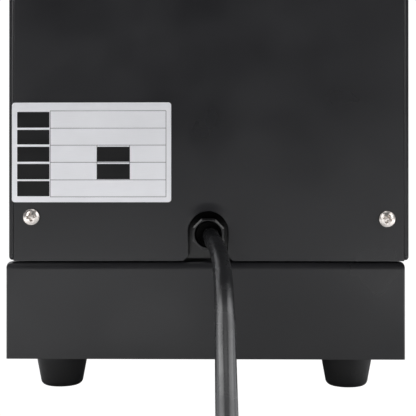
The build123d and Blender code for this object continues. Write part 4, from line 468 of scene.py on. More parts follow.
@dataclass
class Studio:
    """The camera, the white room and its soft lights."""

    eye: tuple[float, float, float] = (-0.00686, 0.5957, 0.09189)
    yaw: float = 0.886
    pitch: float = 0.131
    focal_pixels: float = 896.4
    frame_pixels: float = 416.0
    sensor: float = 36.0
    floor_size: float = 12.0
    shade_radius: float = 0.17
    glow_radius: float = 0.42
    glow_end: float = 1.1
    floor_glow: float = 0.78
    backdrop_edge: float = -0.3
    backdrop_glow: float = 1.5
    backdrop_blur: float = 0.35
    room_glow: float = 0.035
    seen_white: float = 1.05

    def build(self) -> None:
        """Make the whole set."""
        self.camera()
        self.world()
        self.floor()
        self.light("left_light", (0.9, 1.05, 0.75), (0.0, 0.2, 0.1), (0.42, 1.0), 5.0)
        self.light("right_light", (-1.15, 0.75, 0.75), (0.0, 0.2, 0.1), (0.5, 1.0), 5.5)
        self.light("upper_left_light", (0.75, -0.15, 1.0), (0.0, 0.26, 0.04), (0.24, 0.9), 3.4)
        self.light("upper_right_light", (-0.8, -0.15, 1.0), (0.0, 0.26, 0.04), (0.5, 0.9), 3.6)
        self.light("top_light", (0.0, 0.26, 1.15), (0.0, 0.26, 0.0), (0.5, 0.4), 0.9)
        self.light("front_light", (-0.7, -1.4, 0.9), (0.0, 0.0, 0.25), (0.8, 0.8), 9.0)
        self.light("fill_light", (-0.75, 2.2, 0.5), (0.0, 0.14, 0.1), (0.9, 0.9), 0.8)
        bpy.context.scene.view_settings.view_transform = "Standard"

    def camera(self) -> None:
        """Stand the camera where the photograph was taken."""
        camera = bpy.data.objects.new("photo_camera", bpy.data.cameras.new("photo_camera"))
        camera.data.sensor_width = self.sensor
        camera.data.lens = self.focal_pixels / self.frame_pixels * self.sensor
        camera.data.clip_start = 0.01
        yaw = math.radians(self.yaw)
        pitch = math.radians(self.pitch)
        ahead = Vector((math.sin(yaw) * math.cos(pitch), -math.cos(yaw) * math.cos(pitch),
                        math.sin(pitch)))
        camera.location = self.eye
        camera.rotation_euler = ahead.to_track_quat("-Z", "Y").to_euler()
        bpy.context.scene.collection.objects.link(camera)
        bpy.context.scene.camera = camera

    def world(self) -> None:
        """Hang a white backdrop behind the machine, in a dim room that the camera sees as white."""
        world = bpy.data.worlds.new("white_room")
        bpy.context.scene.world = world
        world.use_nodes = True
        tree = world.node_tree
        tree.nodes.clear()
        place = add(tree, "ShaderNodeTexCoord").outputs["Generated"]
        way = add(tree, "ShaderNodeSeparateXYZ", {}, {0: place})
        backdrop = add(tree, "ShaderNodeMapRange",
                       {"From Min": self.backdrop_edge + self.backdrop_blur, "From Max": self.backdrop_edge,
                        "To Min": self.room_glow, "To Max": self.backdrop_glow},
                       {"Value": way.outputs["Y"]}, interpolation_type="SMOOTHSTEP")
        soft = add(tree, "ShaderNodeBackground", {"Color": (0.96, 0.97, 1.0, 1.0)},
                   {"Strength": backdrop.outputs["Result"]})
        white = add(tree, "ShaderNodeBackground", {"Color": WHITE, "Strength": self.seen_white})
        mix = self.seen_as(tree, soft.outputs["Background"], white.outputs["Background"])
        add(tree, "ShaderNodeOutputWorld", {}, {"Surface": mix})

    @staticmethod
    def seen_as(tree: bpy.types.NodeTree, plain: bpy.types.NodeSocket,
                white: bpy.types.NodeSocket) -> bpy.types.NodeSocket:
        """Show the camera another shader than the one that lights the machine.

        Args:
            tree: The nodes.
            plain: What lights the machine.
            white: What the camera sees.

        Returns:
            The mixed shader.
        """
        rays = add(tree, "ShaderNodeLightPath").outputs["Is Camera Ray"]
        return add(tree, "ShaderNodeMixShader", {}, {"Fac": rays, 1: plain, 2: white}).outputs["Shader"]

    def floor(self) -> None:
        """Lay the pale floor, white to the camera; to the machine it glows, with a painted shadow under the
        machine where the glow is left out.
        """
        half = self.floor_size / 2
        bm = bmesh.new()
        bm.faces.new([bm.verts.new((x, y, 0.0)) for x, y in
                      ((-half, -half), (half, -half), (half, half), (-half, half))])
        mesh = bpy.data.meshes.new("studio_floor")
        bm.to_mesh(mesh)
        bm.free()
        material = bpy.data.materials.new("studio_floor")
        material.use_nodes = True
        tree = material.node_tree
        shader = tree.nodes["Principled BSDF"]
        for name, value in (("Base Color", (0.86, 0.86, 0.86, 1.0)), ("Roughness", 0.9),
                            ("Specular IOR Level", 0.1), ("Emission Color", WHITE)):
            shader.inputs[name].default_value = value
        place = add(tree, "ShaderNodeTexCoord").outputs["Object"]
        distance = add(tree, "ShaderNodeVectorMath", {}, {0: place}, operation="LENGTH")
        scale = add(tree, "ShaderNodeMath", {1: self.floor_size}, {0: distance.outputs["Value"]},
                    operation="DIVIDE")
        glow = add(tree, "ShaderNodeValToRGB", {}, {"Fac": scale.outputs[0]})
        stops = glow.color_ramp.elements
        # Painted shadow: the floor's glow is left out under the machine and rises to full strength further
        # out.
        for index, (radius, level) in enumerate((
                (self.shade_radius, 0.0), (self.glow_radius, self.floor_glow),
                (self.glow_end, self.floor_glow), (2.0 * self.glow_end, 0.1))):
            stop = stops[index] if index < 2 else stops.new(radius / self.floor_size)
            stop.position = radius / self.floor_size
            stop.color = (level, level, level, 1.0)
        tree.links.new(glow.outputs["Color"], shader.inputs["Emission Strength"])
        white = add(tree, "ShaderNodeEmission", {"Strength": self.seen_white})
        mix = self.seen_as(tree, shader.outputs["BSDF"], white.outputs["Emission"])
        tree.links.new(mix, tree.nodes["Material Output"].inputs["Surface"])
        mesh.materials.append(material)
        floor = bpy.data.objects.new("studio_floor", mesh)
        bpy.context.scene.collection.objects.link(floor)

    @staticmethod
    def light(name: str, place: tuple[float, float, float], target: tuple[float, float, float],
              size: tuple[float, float], power: float) -> None:
        """Hang one soft light.

        Args:
            name: Its name.
            place: Where it hangs, in metres.
            target: What it points at.
            size: The width and height of its face.
            power: Its power in watts.
        """
        lamp = bpy.data.lights.new(name, "AREA")
        lamp.shape = "RECTANGLE"
        lamp.size, lamp.size_y = size
        lamp.energy = power
        light = bpy.data.objects.new(name, lamp)
        light.location = place
        light.rotation_euler = (Vector(target) - Vector(place)).to_track_quat("-Z", "Y").to_euler()
        bpy.context.scene.collection.objects.link(light)


@dataclass
class GrowTree:
    """A Geometry Nodes tree that puts copies of one object on the points of a mesh."""

    name: str = "pieces_on_points"
    seed: int = 7

    def build(self) -> bpy.types.GeometryNodeTree:
        """Make the tree once.

        Returns:
            The tree with its named inputs.
        """
        made = bpy.data.node_groups.get(self.name)
        if made is not None:
            return made
        tree = bpy.data.node_groups.new(self.name, "GeometryNodeTree")
        face = tree.interface
        for name, kind in (("Geometry", "Geometry"), ("Piece", "Object"), ("Scale", "Float"),
                           ("Random Turn", "Float"), ("Seed", "Int"), ("Finish", "Material")):
            face.new_socket(name, in_out="INPUT", socket_type=f"NodeSocket{kind}")
        face.new_socket("Geometry", in_out="OUTPUT", socket_type="NodeSocketGeometry")
        given = add(tree, "NodeGroupInput").outputs
        facing = add(tree, "GeometryNodeInputNamedAttribute", {"Name": "facing"}, data_type="FLOAT_VECTOR")
        align = add(tree, "FunctionNodeAlignRotationToVector", {},
                    {"Vector": facing.outputs["Attribute"]}, axis="Z")
        turn = add(tree, "FunctionNodeRandomValue", {}, {3: given["Random Turn"], "Seed": given["Seed"]},
                   data_type="FLOAT")
        spin = add(tree, "FunctionNodeAxisAngleToRotation", {"Axis": Axis.Z.value},
                   {"Angle": turn.outputs[1]})
        both = add(tree, "FunctionNodeRotateRotation", {},
                   {"Rotation": align.outputs["Rotation"], "Rotate By": spin.outputs["Rotation"]},
                   rotation_space="LOCAL")
        source = add(tree, "GeometryNodeObjectInfo", {}, {"Object": given["Piece"]})
        spread = add(tree, "GeometryNodeInstanceOnPoints", {},
                     {"Points": given["Geometry"], "Instance": source.outputs["Geometry"],
                      "Rotation": both.outputs["Rotation"], "Scale": given["Scale"]})
        real = add(tree, "GeometryNodeRealizeInstances", {}, {"Geometry": spread.outputs["Instances"]})
        dressed = add(tree, "GeometryNodeSetMaterial", {},
                      {"Geometry": real.outputs["Geometry"], "Material": given["Finish"]})
        add(tree, "NodeGroupOutput", {}, {"Geometry": dressed.outputs["Geometry"]})
        return tree

    def grow(self, name: str, points: list[Vector], facings: list[Vector], piece: bmesh.types.BMesh,
             finish: Finish, body: str = "frame", turn: float = 0.0,
             smooth_angle: float = 30.0) -> bpy.types.Object:
        """Put a copy of a piece on every point, as one mesh.

        Args:
            name: The new object's name.
            points: Where the copies go.
            facings: Which way each copy's Z points.
            piece: The mesh that is copied, which is freed.
            finish: Their finish.
            body: The body that they ride on.
            turn: The most that a copy may be turned about its own Z.
            smooth_angle: Edges sharper than this stay sharp.

        Returns:
            The new object, a plain mesh.
        """
        bmesh.ops.recalc_face_normals(piece, faces=piece.faces)
        mould = bpy.data.meshes.new(f"{name}_mould")
        piece.to_mesh(mould)
        piece.free()
        source = bpy.data.objects.new(f"{name}_mould", mould)
        mesh = bpy.data.meshes.new(f"{name}_points")
        mesh.from_pydata(points, [], [])
        facing = mesh.attributes.new("facing", "FLOAT_VECTOR", "POINT")
        for index, direction in enumerate(facings):
            facing.data[index].vector = direction
        holder = bpy.data.objects.new(name, mesh)
        bpy.context.scene.collection.objects.link(holder)
        tree = self.build()
        modifier = holder.modifiers.new("copies", "NODES")
        modifier.node_group = tree
        values = {"Piece": source, "Scale": 1.0, "Random Turn": turn, "Seed": self.seed,
                  "Finish": finish.material()}
        for item in tree.interface.items_tree:
            if item.in_out == "INPUT" and item.name in values:
                modifier[item.identifier] = values[item.name]
        graph = bpy.context.evaluated_depsgraph_get()
        result = bpy.data.meshes.new_from_object(holder.evaluated_get(graph))
        holder.modifiers.clear()
        holder.data = result
        if not result.materials:
            result.materials.append(finish.material())
        result.shade_smooth()
        result.set_sharp_from_angle(angle=math.radians(smooth_angle))
        bpy.data.objects.remove(source)
        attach(holder, body)
        LOG.info("grew %s, %d copies, %d faces", name, len(points), len(result.polygons))
        return holder


@dataclass
class CrossScrews:
    """Pan-head screws with a cross recess, in place of the plain ones of the frame."""

    head_radius: float = 4.0 * MM
    head_height: float = 2.6 * MM
    side_height: float = 1.1 * MM
    length: float = 8.0 * MM
    shank_radius: float = 1.95 * MM
    recess_reach: float = 2.15 * MM
    recess_half_width: float = 0.68 * MM
    recess_depth: float = 2.3 * MM
    segments: int = 64
    rings: int = 13
    low_row: float = 120.0 * MM
    low_left: tuple[float, float, float] = (-0.5 * MM, 0.0, 0.4 * MM)
    low_right: tuple[float, float, float] = (0.0, 0.0, -0.6 * MM)
    sets: dict[str, tuple[str, Finish]] = field(default_factory=lambda: {
        "rear_cover_screws": ("rear", BRIGHT_STEEL),
        "side_panel_screws": ("side", BRIGHT_STEEL),
        "back_plate_screws": ("rear", BRIGHT_STEEL),
        "bottom_plate_screws": ("below", BLACK_STEEL),
    })

    def recess(self, x: float, y: float) -> float:
        """How deep the cross is at a place on the head.

        Args:
            x: Place along one wing, in metres.
            y: Place along the other.

        Returns:
            The depth in metres.
        """
        depth = 0.0
        for along, across in ((abs(x), abs(y)), (abs(y), abs(x))):
            wing = self.recess_half_width * (1.0 - 0.25 * along / self.recess_reach)
            wall = min(1.0, max(0.0, (wing - across) / (0.22 * MM) + 0.5))
            end = min(1.0, max(0.0, (self.recess_reach - along) / (0.55 * MM)))
            depth = max(depth, self.recess_depth * wall * end)
        return depth

    def head(self) -> bmesh.types.BMesh:
        """Build one screw on the origin with its head on +Z.

        Returns:
            The screw's mesh.
        """
        bm = bmesh.new()
        rows = []
        crown = self.head_height - self.side_height
        for ring in range(1, self.rings + 1):
            radius = self.head_radius * 0.96 * ring / self.rings
            drop = crown * (radius / self.head_radius) ** 2.6
            row = []
            for step in range(self.segments):
                angle = 2 * math.pi * step / self.segments
                x = radius * math.cos(angle)
                y = radius * math.sin(angle)
                row.append(bm.verts.new((x, y, self.head_height - drop - self.recess(x, y))))
            rows.append(row)
        profile = [(self.head_radius, self.side_height), (self.head_radius, 0.15 * MM),
                   (self.head_radius - 0.15 * MM, 0.0), (self.shank_radius, 0.0),
                   (self.shank_radius, 0.4 * MM - self.length),
                   (self.shank_radius - 0.4 * MM, -self.length)]
        for radius, height in profile:
            rows.append([bm.verts.new((radius * math.cos(2 * math.pi * step / self.segments),
                                       radius * math.sin(2 * math.pi * step / self.segments), height))
                         for step in range(self.segments)])
        skin(bm, rows, capped=False)
        middle = bm.verts.new((0.0, 0.0, self.head_height - self.recess_depth))
        for step in range(self.segments):
            bm.faces.new((rows[0][(step + 1) % self.segments], rows[0][step], middle))
        bm.faces.new(rows[-1])
        return bm

    @staticmethod
    def outward(side: str, middle: Vector) -> Vector:
        """Which way a screw's head faces.

        Args:
            side: The side of the machine that it is on.
            middle: The screw's middle.

        Returns:
            The direction of its head.
        """
        if side == "rear":
            return Vector((0.0, 1.0, 0.0))
        if side == "below":
            return Vector((0.0, 0.0, -1.0))
        return Vector((math.copysign(1.0, middle.x), 0.0, 0.0))

    def settled(self, place: Vector) -> Vector:
        """Move a low rear screw in its oversize hole to where the photograph shows it.

        Args:
            place: The middle of the hole.

        Returns:
            The screw's own place.
        """
        if place.z > self.low_row:
            return place
        shift = self.low_left if place.x > 0.0 else self.low_right
        return place + Vector(shift)

    def build(self, nodes: dict[str, bpy.types.Object]) -> None:
        """Put every set of screws where its node is.

        Args:
            nodes: The frame's nodes.
        """
        for name, (side, finish) in self.sets.items():
            places = []
            facings = []
            for group in islands(nodes[name]):
                low = Vector([min(p[i] for p in group) for i in range(3)])
                high = Vector([max(p[i] for p in group) for i in range(3)])
                middle = (low + high) / 2
                facing = self.outward(side, middle)
                half = (high - low).dot(Vector([abs(f) for f in facing])) / 2
                places.append(middle + facing * (half - self.head_height))
                facings.append(facing)
            if name == "rear_cover_screws":
                places = [self.settled(place) for place in places]
            grown = GrowTree().grow(f"{name}_heads", places, facings, self.head(), finish,
                                    turn=math.pi / 2)
            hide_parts(name)


@dataclass
class RatingPlate:
    """The thin brushed plate with its bare fields, without any print."""

    corner: float = 1.5 * MM
    edge: float = 0.12 * MM
    ink: float = 0.05 * MM
    line: float = 0.28 * MM
    black_rows: tuple[tuple[float, float], ...] = ((4.7, 12.6), (13.7, 21.0), (22.2, 29.7), (30.8, 38.5),
                                                   (39.4, 47.0))
    black_column: tuple[float, float] = (2.7, 18.9)
    second_column: tuple[float, float] = (42.8, 59.2)
    outline: tuple[float, float, float, float] = (19.3, 77.4, 4.2, 47.3)
    rules: tuple[float, ...] = (12.9, 21.4, 30.0, 38.8)

    def build(self) -> None:
        """Build the plate and its fields on the rear cover."""
        self.low, self.high = corners("rating_plate")
        bm = bmesh.new()
        outline = self.rounded(self.low.x, self.high.x, self.low.z, self.high.z, self.corner)
        inner = self.rounded(self.low.x + self.edge, self.high.x - self.edge, self.low.z + self.edge,
                             self.high.z - self.edge, self.corner - self.edge)
        loops = [[bm.verts.new((x, y, z)) for x, z in points] for y, points in
                 ((self.low.y, outline), (self.high.y - self.edge, outline), (self.high.y, inner))]
        skin(bm, loops)
        plate = new_piece("rating_plate_metal", bm, PLATE_METAL, 20.0)
        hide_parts("rating_plate")
        fields = bmesh.new()
        for top, bottom in self.black_rows:
            self.field(fields, *self.black_column, top, bottom)
        for top, bottom in self.black_rows[2:4]:
            self.field(fields, *self.second_column, top, bottom)
        black = new_piece("rating_plate_fields", fields, BLACK_INK, 20.0)
        lines = bmesh.new()
        left, right, top, bottom = self.outline
        for height in (top, *self.rules, bottom):
            self.field(lines, left, right, height - self.line / MM / 2, height + self.line / MM / 2, 0.4)
        for across in (left, right):
            self.field(lines, across - self.line / MM / 2, across + self.line / MM / 2, top, bottom, 0.6)
        for across in self.second_column:
            self.field(lines, across - self.line / MM / 2, across + self.line / MM / 2,
                       self.rules[1], self.rules[3], 0.5)
        grey = new_piece("rating_plate_lines", lines, GREY_INK, 20.0)

    @staticmethod
    def rounded(x0: float, x1: float, z0: float, z1: float, radius: float) -> list[tuple[float, float]]:
        """Points of a rectangle with round corners.

        Args:
            x0: Low side.
            x1: High side.
            z0: Bottom.
            z1: Top.
            radius: Corner radius.

        Returns:
            Its points in order.
        """
        points = []
        for cx, cz, start in ((x1 - radius, z1 - radius, 0), (x0 + radius, z1 - radius, 90),
                              (x0 + radius, z0 + radius, 180), (x1 - radius, z0 + radius, 270)):
            for step in range(7):
                angle = math.radians(start + 15 * step)
                points.append((cx + radius * math.cos(angle), cz + radius * math.sin(angle)))
        return points

    def field(self, bm: bmesh.types.BMesh, left: float, right: float, top: float, bottom: float,
              share: float = 1.0) -> None:
        """Add one printed field, as thick as its ink.

        Args:
            bm: The mesh that it joins.
            left: Its left side from the plate's left edge, in millimetres, as seen from behind.
            right: Its right side.
            top: Its top from the plate's upper edge.
            bottom: Its bottom.
            share: Its share of the full thickness of ink.
        """
        x1 = self.high.x - left * MM
        x0 = self.high.x - right * MM
        z1 = self.high.z - top * MM
        z0 = self.high.z - bottom * MM
        rear = self.high.y + self.ink * share
        corner = min(0.35 * MM, (x1 - x0) / 2.5, (z1 - z0) / 2.5)
        points = self.rounded(x0, x1, z0, z1, corner)
        back = [bm.verts.new((x, self.high.y - 0.01 * MM, z)) for x, z in points]
        front = [bm.verts.new((x, rear, z)) for x, z in points]
        skin(bm, [back, front])


@dataclass
class StrainRelief:
    """The eight-sided strain relief, with the round mouth that the cord leaves by."""

    flats: float = 8.0 * MM
    head_length: float = 11.2 * MM
    chamfer: float = 0.85 * MM
    chamfer_depth: float = 0.5 * MM
    mouth: float = 6.6 * MM
    mouth_depth: float = 6.5 * MM
    bore: float = 1.0 * MM
    gland_outer: float = 6.2 * MM
    gland_inner: float = 4.15 * MM
    cord_shift: tuple[float, float] = (-1.35 * MM, -0.7 * MM)
    segments: int = 64

    def build(self) -> None:
        """Build it in the hole of the back plate."""
        low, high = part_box("strain_relief_bushing")
        plate_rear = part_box("chassis_back_plate")[1][1]
        self.x = (low[0] + high[0]) / 2
        self.z = (low[2] + high[2]) / 2
        face = plate_rear + self.head_length
        inside = low[1]
        profile = [(self.bore, inside, 0.0), (6.9 * MM, inside, 0.0), (6.9 * MM, plate_rear - 2 * MM, 0.0),
                   (5.9 * MM, plate_rear - 2 * MM, 0.0), (5.9 * MM, plate_rear, 0.0),
                   (self.flats, plate_rear, 1.0), (self.flats, face - self.chamfer_depth, 1.0),
                   (self.flats - self.chamfer, face, 1.0), (self.mouth + 0.3 * MM, face, 0.1),
                   (self.mouth, face - 0.35 * MM, 0.0), (self.mouth - 0.15 * MM, face - 0.9 * MM, 0.0),
                   (self.mouth - 0.35 * MM, face - self.mouth_depth, 0.0),
                   (self.bore, face - self.mouth_depth - 0.05 * MM, 0.0)]
        bm = bmesh.new()
        loops = [self.loop(bm, *point) for point in profile]
        skin(bm, loops, closed=True)
        relief = new_piece("strain_relief", bm, NYLON, 28.0)
        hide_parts("strain_relief_bushing")
        self.gland(face)

    def gland(self, face: float) -> None:
        """Build the soft ring between the cord and the mouth's wall.

        Args:
            face: Where the relief's outer face is.
        """
        bm = bmesh.new()
        loops = []
        for share, depth in ((0.0, 6.4), (0.0, 2.0), (0.08, 1.7), (0.4, 2.5), (0.75, 3.4), (0.95, 3.9),
                             (1.0, 4.2), (1.0, 6.4)):
            radius = self.gland_outer + (self.gland_inner - self.gland_outer) * share
            row = self.loop(bm, radius, face - depth * MM, 0.0)
            for vert in row:
                vert.co.x += self.cord_shift[0] * share
                vert.co.z += self.cord_shift[1] * share
            loops.append(row)
        skin(bm, loops, closed=True)
        ring = new_piece("strain_relief_gland", bm, GLAND_RUBBER, 40.0)

    def loop(self, bm: bmesh.types.BMesh, radius: float, y: float, corners: float) -> list:
        """Add one loop of the head, between a circle and an octagon.

        Args:
            bm: The mesh.
            radius: Its radius across the flats.
            y: Its place along the cord.
            corners: 0 for a circle, 1 for a full octagon.

        Returns:
            The loop's vertices.
        """
        verts = []
        for step in range(self.segments):
            angle = 2 * math.pi * step / self.segments
            off_flat = (angle + math.pi / 8) % (math.pi / 4) - math.pi / 8
            reach = radius * (1.0 + corners * (1.0 / math.cos(off_flat) - 1.0))
            verts.append(bm.verts.new((self.x + reach * math.cos(angle), y,
                                       self.z + reach * math.sin(angle))))
        return verts


@dataclass
class MainsLead:
    """The mains cord from the strain relief to its coil on the floor, and its plug."""

    radius: float = 4.1
    route: tuple[tuple[float, float, float], ...] = (
        (-1.4, 139.0, 79.0), (-1.2, 156.0, 79.0), (-6.0, 192.0, 72.8), (-8.0, 231.0, 59.4),
        (-8.4, 268.0, 28.5), (-9.0, 308.0, 4.1), (-8.8, 375.0, 4.1))
    plug_route: tuple[tuple[float, float, float], ...] = (
        (-115.0, 375.0, 4.1), (-115.0, 345.0, 4.1), (-122.0, 314.0, 10.0), (-132.0, 290.0, 10.0))
    coil_mean_radius: float = 49.0
    coil_centre_y: float = 405.0
    points_per_turn: int = 16
    half_turns: int = 7
    length: float = 1.48

    def coil(self) -> list[tuple[float, float, float]]:
        """The control points of the coil's turns.

        Returns:
            Points in millimetres, round the coil's middle.
        """
        inner = self.coil_mean_radius - self.radius
        outer = self.coil_mean_radius + self.radius
        centre_x = self.route[-1][0] - outer
        upper = 3 * self.radius
        pull = 1.0 / (0.5 + 0.5 * math.cos(2 * math.pi / self.points_per_turn)) ** 0.5
        radii = ((0.0, outer), (1.45, outer), (1.95, inner), (5.0, inner), (5.45, outer), (7.1, outer))
        heights = ((0.0, self.radius), (3.1, self.radius), (3.55, upper), (6.75, upper), (7.1, upper))
        points = []
        for step in range(self.half_turns * self.points_per_turn // 2 + 1):
            half = 2.0 * step / self.points_per_turn
            angle = math.pi * half
            reach = self.between(half, radii) * pull
            points.append((centre_x + reach * math.cos(angle), self.coil_centre_y + reach * math.sin(angle),
                           self.between(half, heights)))
        return points

    @staticmethod
    def between(at: float, table: tuple[tuple[float, float], ...]) -> float:
        """Read a value from a table of places and values.

        Args:
            at: The place, in half turns.
            table: Places and their values, in order.

        Returns:
            The value there, eased between two rows.
        """
        for (start, first), (end, second) in zip(table, table[1:]):
            if at <= end:
                share = (at - start) / (end - start)
                share = share * share * (3.0 - 2.0 * share)
                return first + (second - first) * share
        return table[-1][1]

    def build(self, nodes: dict[str, bpy.types.Object]) -> None:
        """Lay the cord and dress the plug.

        Args:
            nodes: The frame's nodes.
        """
        curve = bpy.data.curves.new("mains_lead", "CURVE")
        curve.dimensions = "3D"
        curve.bevel_depth = self.radius * MM
        curve.bevel_resolution = 6
        curve.resolution_u = 10
        curve.use_fill_caps = True
        points = [*self.route, *self.coil(), *self.plug_route]
        spline = curve.splines.new("NURBS")
        spline.points.add(len(points) - 1)
        for point, (x, y, z) in zip(spline.points, points):
            point.co = (x * MM, y * MM, z * MM, 1.0)
        spline.order_u = 3
        spline.use_endpoint_u = True
        spline.use_smooth = True
        curve.materials.append(SHEATH.material())
        lead = bpy.data.objects.new("mains_lead", curve)
        bpy.context.scene.collection.objects.link(lead)
        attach(lead, "frame")
        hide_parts("power_cord", "cord_coil", "plug_lead")
        body, pins = self.plug(nodes)

    def plug(self, nodes: dict[str, bpy.types.Object]) -> tuple[bpy.types.Object, bpy.types.Object]:
        """Part the plug's body from its pins and give each its own finish.

        Args:
            nodes: The frame's nodes.

        Returns:
            The body and the pins.
        """
        made = []
        for name, finish, slot, largest in (("plug_body", SHEATH, "cord_sheath", True),
                                            ("plug_pins", BRIGHT_STEEL, "bright_screws", False)):
            bm = merged(nodes["power_plug"])
            groups = sorted(solids(bm), key=len, reverse=True)
            unwanted = groups[1:] if largest else groups[:1]
            bmesh.ops.delete(bm, geom=[v for group in unwanted for v in group], context="VERTS")
            piece = new_piece(name, bm, finish, 30.0)
            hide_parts("power_plug")
            made.append(piece)
        return made[0], made[1]


@dataclass
class BaseBox:
    """The base with the tight vertical corners of a folded and welded box, and its feet."""

    cad_corner: float = 4.5 * MM
    corner: float = 1.2 * MM
    cad_bend: float = 4.0 * MM
    bend_share: float = 0.55
    foot_swell: float = 0.9 * MM
    foot_levels: tuple[float, ...] = (2.5, 4.0, 5.5, 7.0, 9.0, 12.0)

    def build(self, nodes: dict[str, bpy.types.Object]) -> None:
        """Shape a copy of the base and of its feet.

        Args:
            nodes: The frame's nodes.
        """
        low, high = corners("base_shell")
        middle = (low + high) / 2
        half = (high - low) / 2
        bm = merged(nodes["base_shell"])
        for vert in bm.verts:
            across = Vector((abs(vert.co.x - middle.x), abs(vert.co.y - middle.y)))
            arm = across - Vector((half.x, half.y)) + Vector((self.cad_corner, self.cad_corner))
            if arm.x <= 0.0 or arm.y <= 0.0:
                continue
            inset = self.cad_corner - arm.length
            centre = max(self.corner, inset)
            reach = max(self.corner - inset, 0.0)
            placed = Vector((half.x, half.y)) - Vector((centre, centre)) + arm.normalized() * reach
            vert.co.x = middle.x + math.copysign(placed.x, vert.co.x - middle.x)
            vert.co.y = middle.y + math.copysign(placed.y, vert.co.y - middle.y)
        for vert in bm.verts:
            if vert.co.z < high.z - self.cad_bend + SAME_PLACE:
                continue
            for axis in (0, 1):
                inset = half[axis] - abs(vert.co[axis] - middle[axis])
                if inset < self.cad_bend + SAME_PLACE:
                    side = math.copysign(half[axis] - self.bend_share * inset, vert.co[axis] - middle[axis])
                    vert.co[axis] = middle[axis] + side
        bmesh.ops.remove_doubles(bm, verts=bm.verts, dist=SAME_PLACE)
        bmesh.ops.dissolve_degenerate(bm, edges=bm.edges, dist=1e-6)
        bmesh.ops.triangulate(bm, faces=bm.faces)
        box = new_piece("base_box", bm, BLACK_COAT, 32.0, turn=False, weigh=True)
        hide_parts("base_shell")
        self.feet(nodes)

    def feet(self, nodes: dict[str, bpy.types.Object]) -> None:
        """Swell a copy of the feet between the floor and the base.

        Args:
            nodes: The frame's nodes.
        """
        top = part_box("rubber_feet")[1][2]
        bm = merged(nodes["rubber_feet"])
        for level in self.foot_levels:
            bmesh.ops.bisect_plane(bm, geom=[*bm.verts, *bm.edges, *bm.faces],
                                   plane_co=(0.0, 0.0, level * MM), plane_no=(0.0, 0.0, 1.0))
        low, high = corners("rubber_feet")
        reach = self.foot_reach(bm, high)
        centres = [Vector((x, y)) for x in (low.x + reach, high.x - reach)
                   for y in (low.y + reach, high.y - reach)]
        for vert in bm.verts:
            flat = Vector((vert.co.x, vert.co.y))
            centre = min(centres, key=lambda c: (c - flat).length)
            arm = flat - centre
            if arm.length > 0.7 * reach:
                share = min(1.0, vert.co.z / (0.75 * top))
                placed = centre + arm.normalized() * (arm.length + self.foot_swell * share)
                vert.co.x, vert.co.y = placed
        bmesh.ops.triangulate(bm, faces=bm.faces)
        feet = new_piece("rubber_feet_swelled", bm, RUBBER, 40.0, turn=False)
        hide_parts("rubber_feet")

    @staticmethod
    def foot_reach(bm: bmesh.types.BMesh, high: Vector) -> float:
        """Measure the widest radius of a foot.

        Args:
            bm: The mesh of all feet.
            high: Their highest corner.

        Returns:
            The radius in metres.
        """
        near = [v.co for v in bm.verts if v.co.x > high.x - 0.04 and v.co.y > high.y - 0.04]
        return (max(c.x for c in near) - min(c.x for c in near)) / 2


@dataclass
class RearCover:
    """The rear cover with the round lower corners of a pressed sheet."""

    corner: float = 1.7 * MM
    spread: float = 0.2 * MM
    notch_radius: float = 10.0 * MM
    notch_height: float = 25.0 * MM
    lip: float = 5.0 * MM
    lip_height: float = 0.55 * MM
    lip_steps: int = 48
    lip_rings: int = 10

    def build(self, nodes: dict[str, bpy.types.Object]) -> None:
        """Round the corners of a copy of the cover.

        Args:
            nodes: The frame's nodes.
        """
        low, high = corners("rear_cover")
        bm = merged(nodes["rear_cover"])
        bmesh.ops.dissolve_limit(bm, angle_limit=NO_BEND, verts=bm.verts, edges=bm.edges)
        ends = [edge for edge in bm.edges if all(v.co.z < low.z + SAME_PLACE
                                                 and abs(abs(v.co.x) - high.x) < SAME_PLACE
                                                 for v in edge.verts)]
        bmesh.ops.bevel(bm, geom=ends, offset=self.corner, segments=5, profile=0.5, affect="EDGES",
                        clamp_overlap=True)
        for vert in bm.verts:
            if abs(vert.co.x) > high.x - SAME_PLACE:
                vert.co.x += math.copysign(self.spread, vert.co.x)
        bmesh.ops.triangulate(bm, faces=bm.faces)
        cover = new_piece("rear_cover_sheet", bm, BLACK_COAT, 30.0, turn=False, weigh=True)
        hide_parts("rear_cover")
        self.notch_lip(low, high)

    def notch_lip(self, low: Vector, high: Vector) -> None:
        """Raise the soft lip that the punch leaves over the cord notch.

        Args:
            low: The cover's lowest corner.
            high: Its highest corner.
        """
        x = (low.x + high.x) / 2
        z = low.z + self.notch_height - self.notch_radius
        under = high.y - 0.4 * MM
        bm = bmesh.new()
        rows = []
        for step in range(self.lip_steps + 1):
            share = step / self.lip_steps
            angle = math.radians(20.0 + 140.0 * share)
            rise = self.lip_height * math.sin(math.pi * share) ** 2
            profile = [(self.notch_radius, under)]
            for ring in range(self.lip_rings + 1):
                out = ring / self.lip_rings
                height = rise * (1.0 - out) ** 2
                profile.append((self.notch_radius + 0.08 * MM + self.lip * out, high.y + height + 0.01 * MM))
            profile.append((self.notch_radius + 0.08 * MM + self.lip, under))
            rows.append([bm.verts.new((x + reach * math.cos(angle), y, z + reach * math.sin(angle)))
                         for reach, y in profile])
        skin(bm, rows)
        lip = new_piece("rear_cover_notch_lip", bm, BLACK_COAT, 50.0)


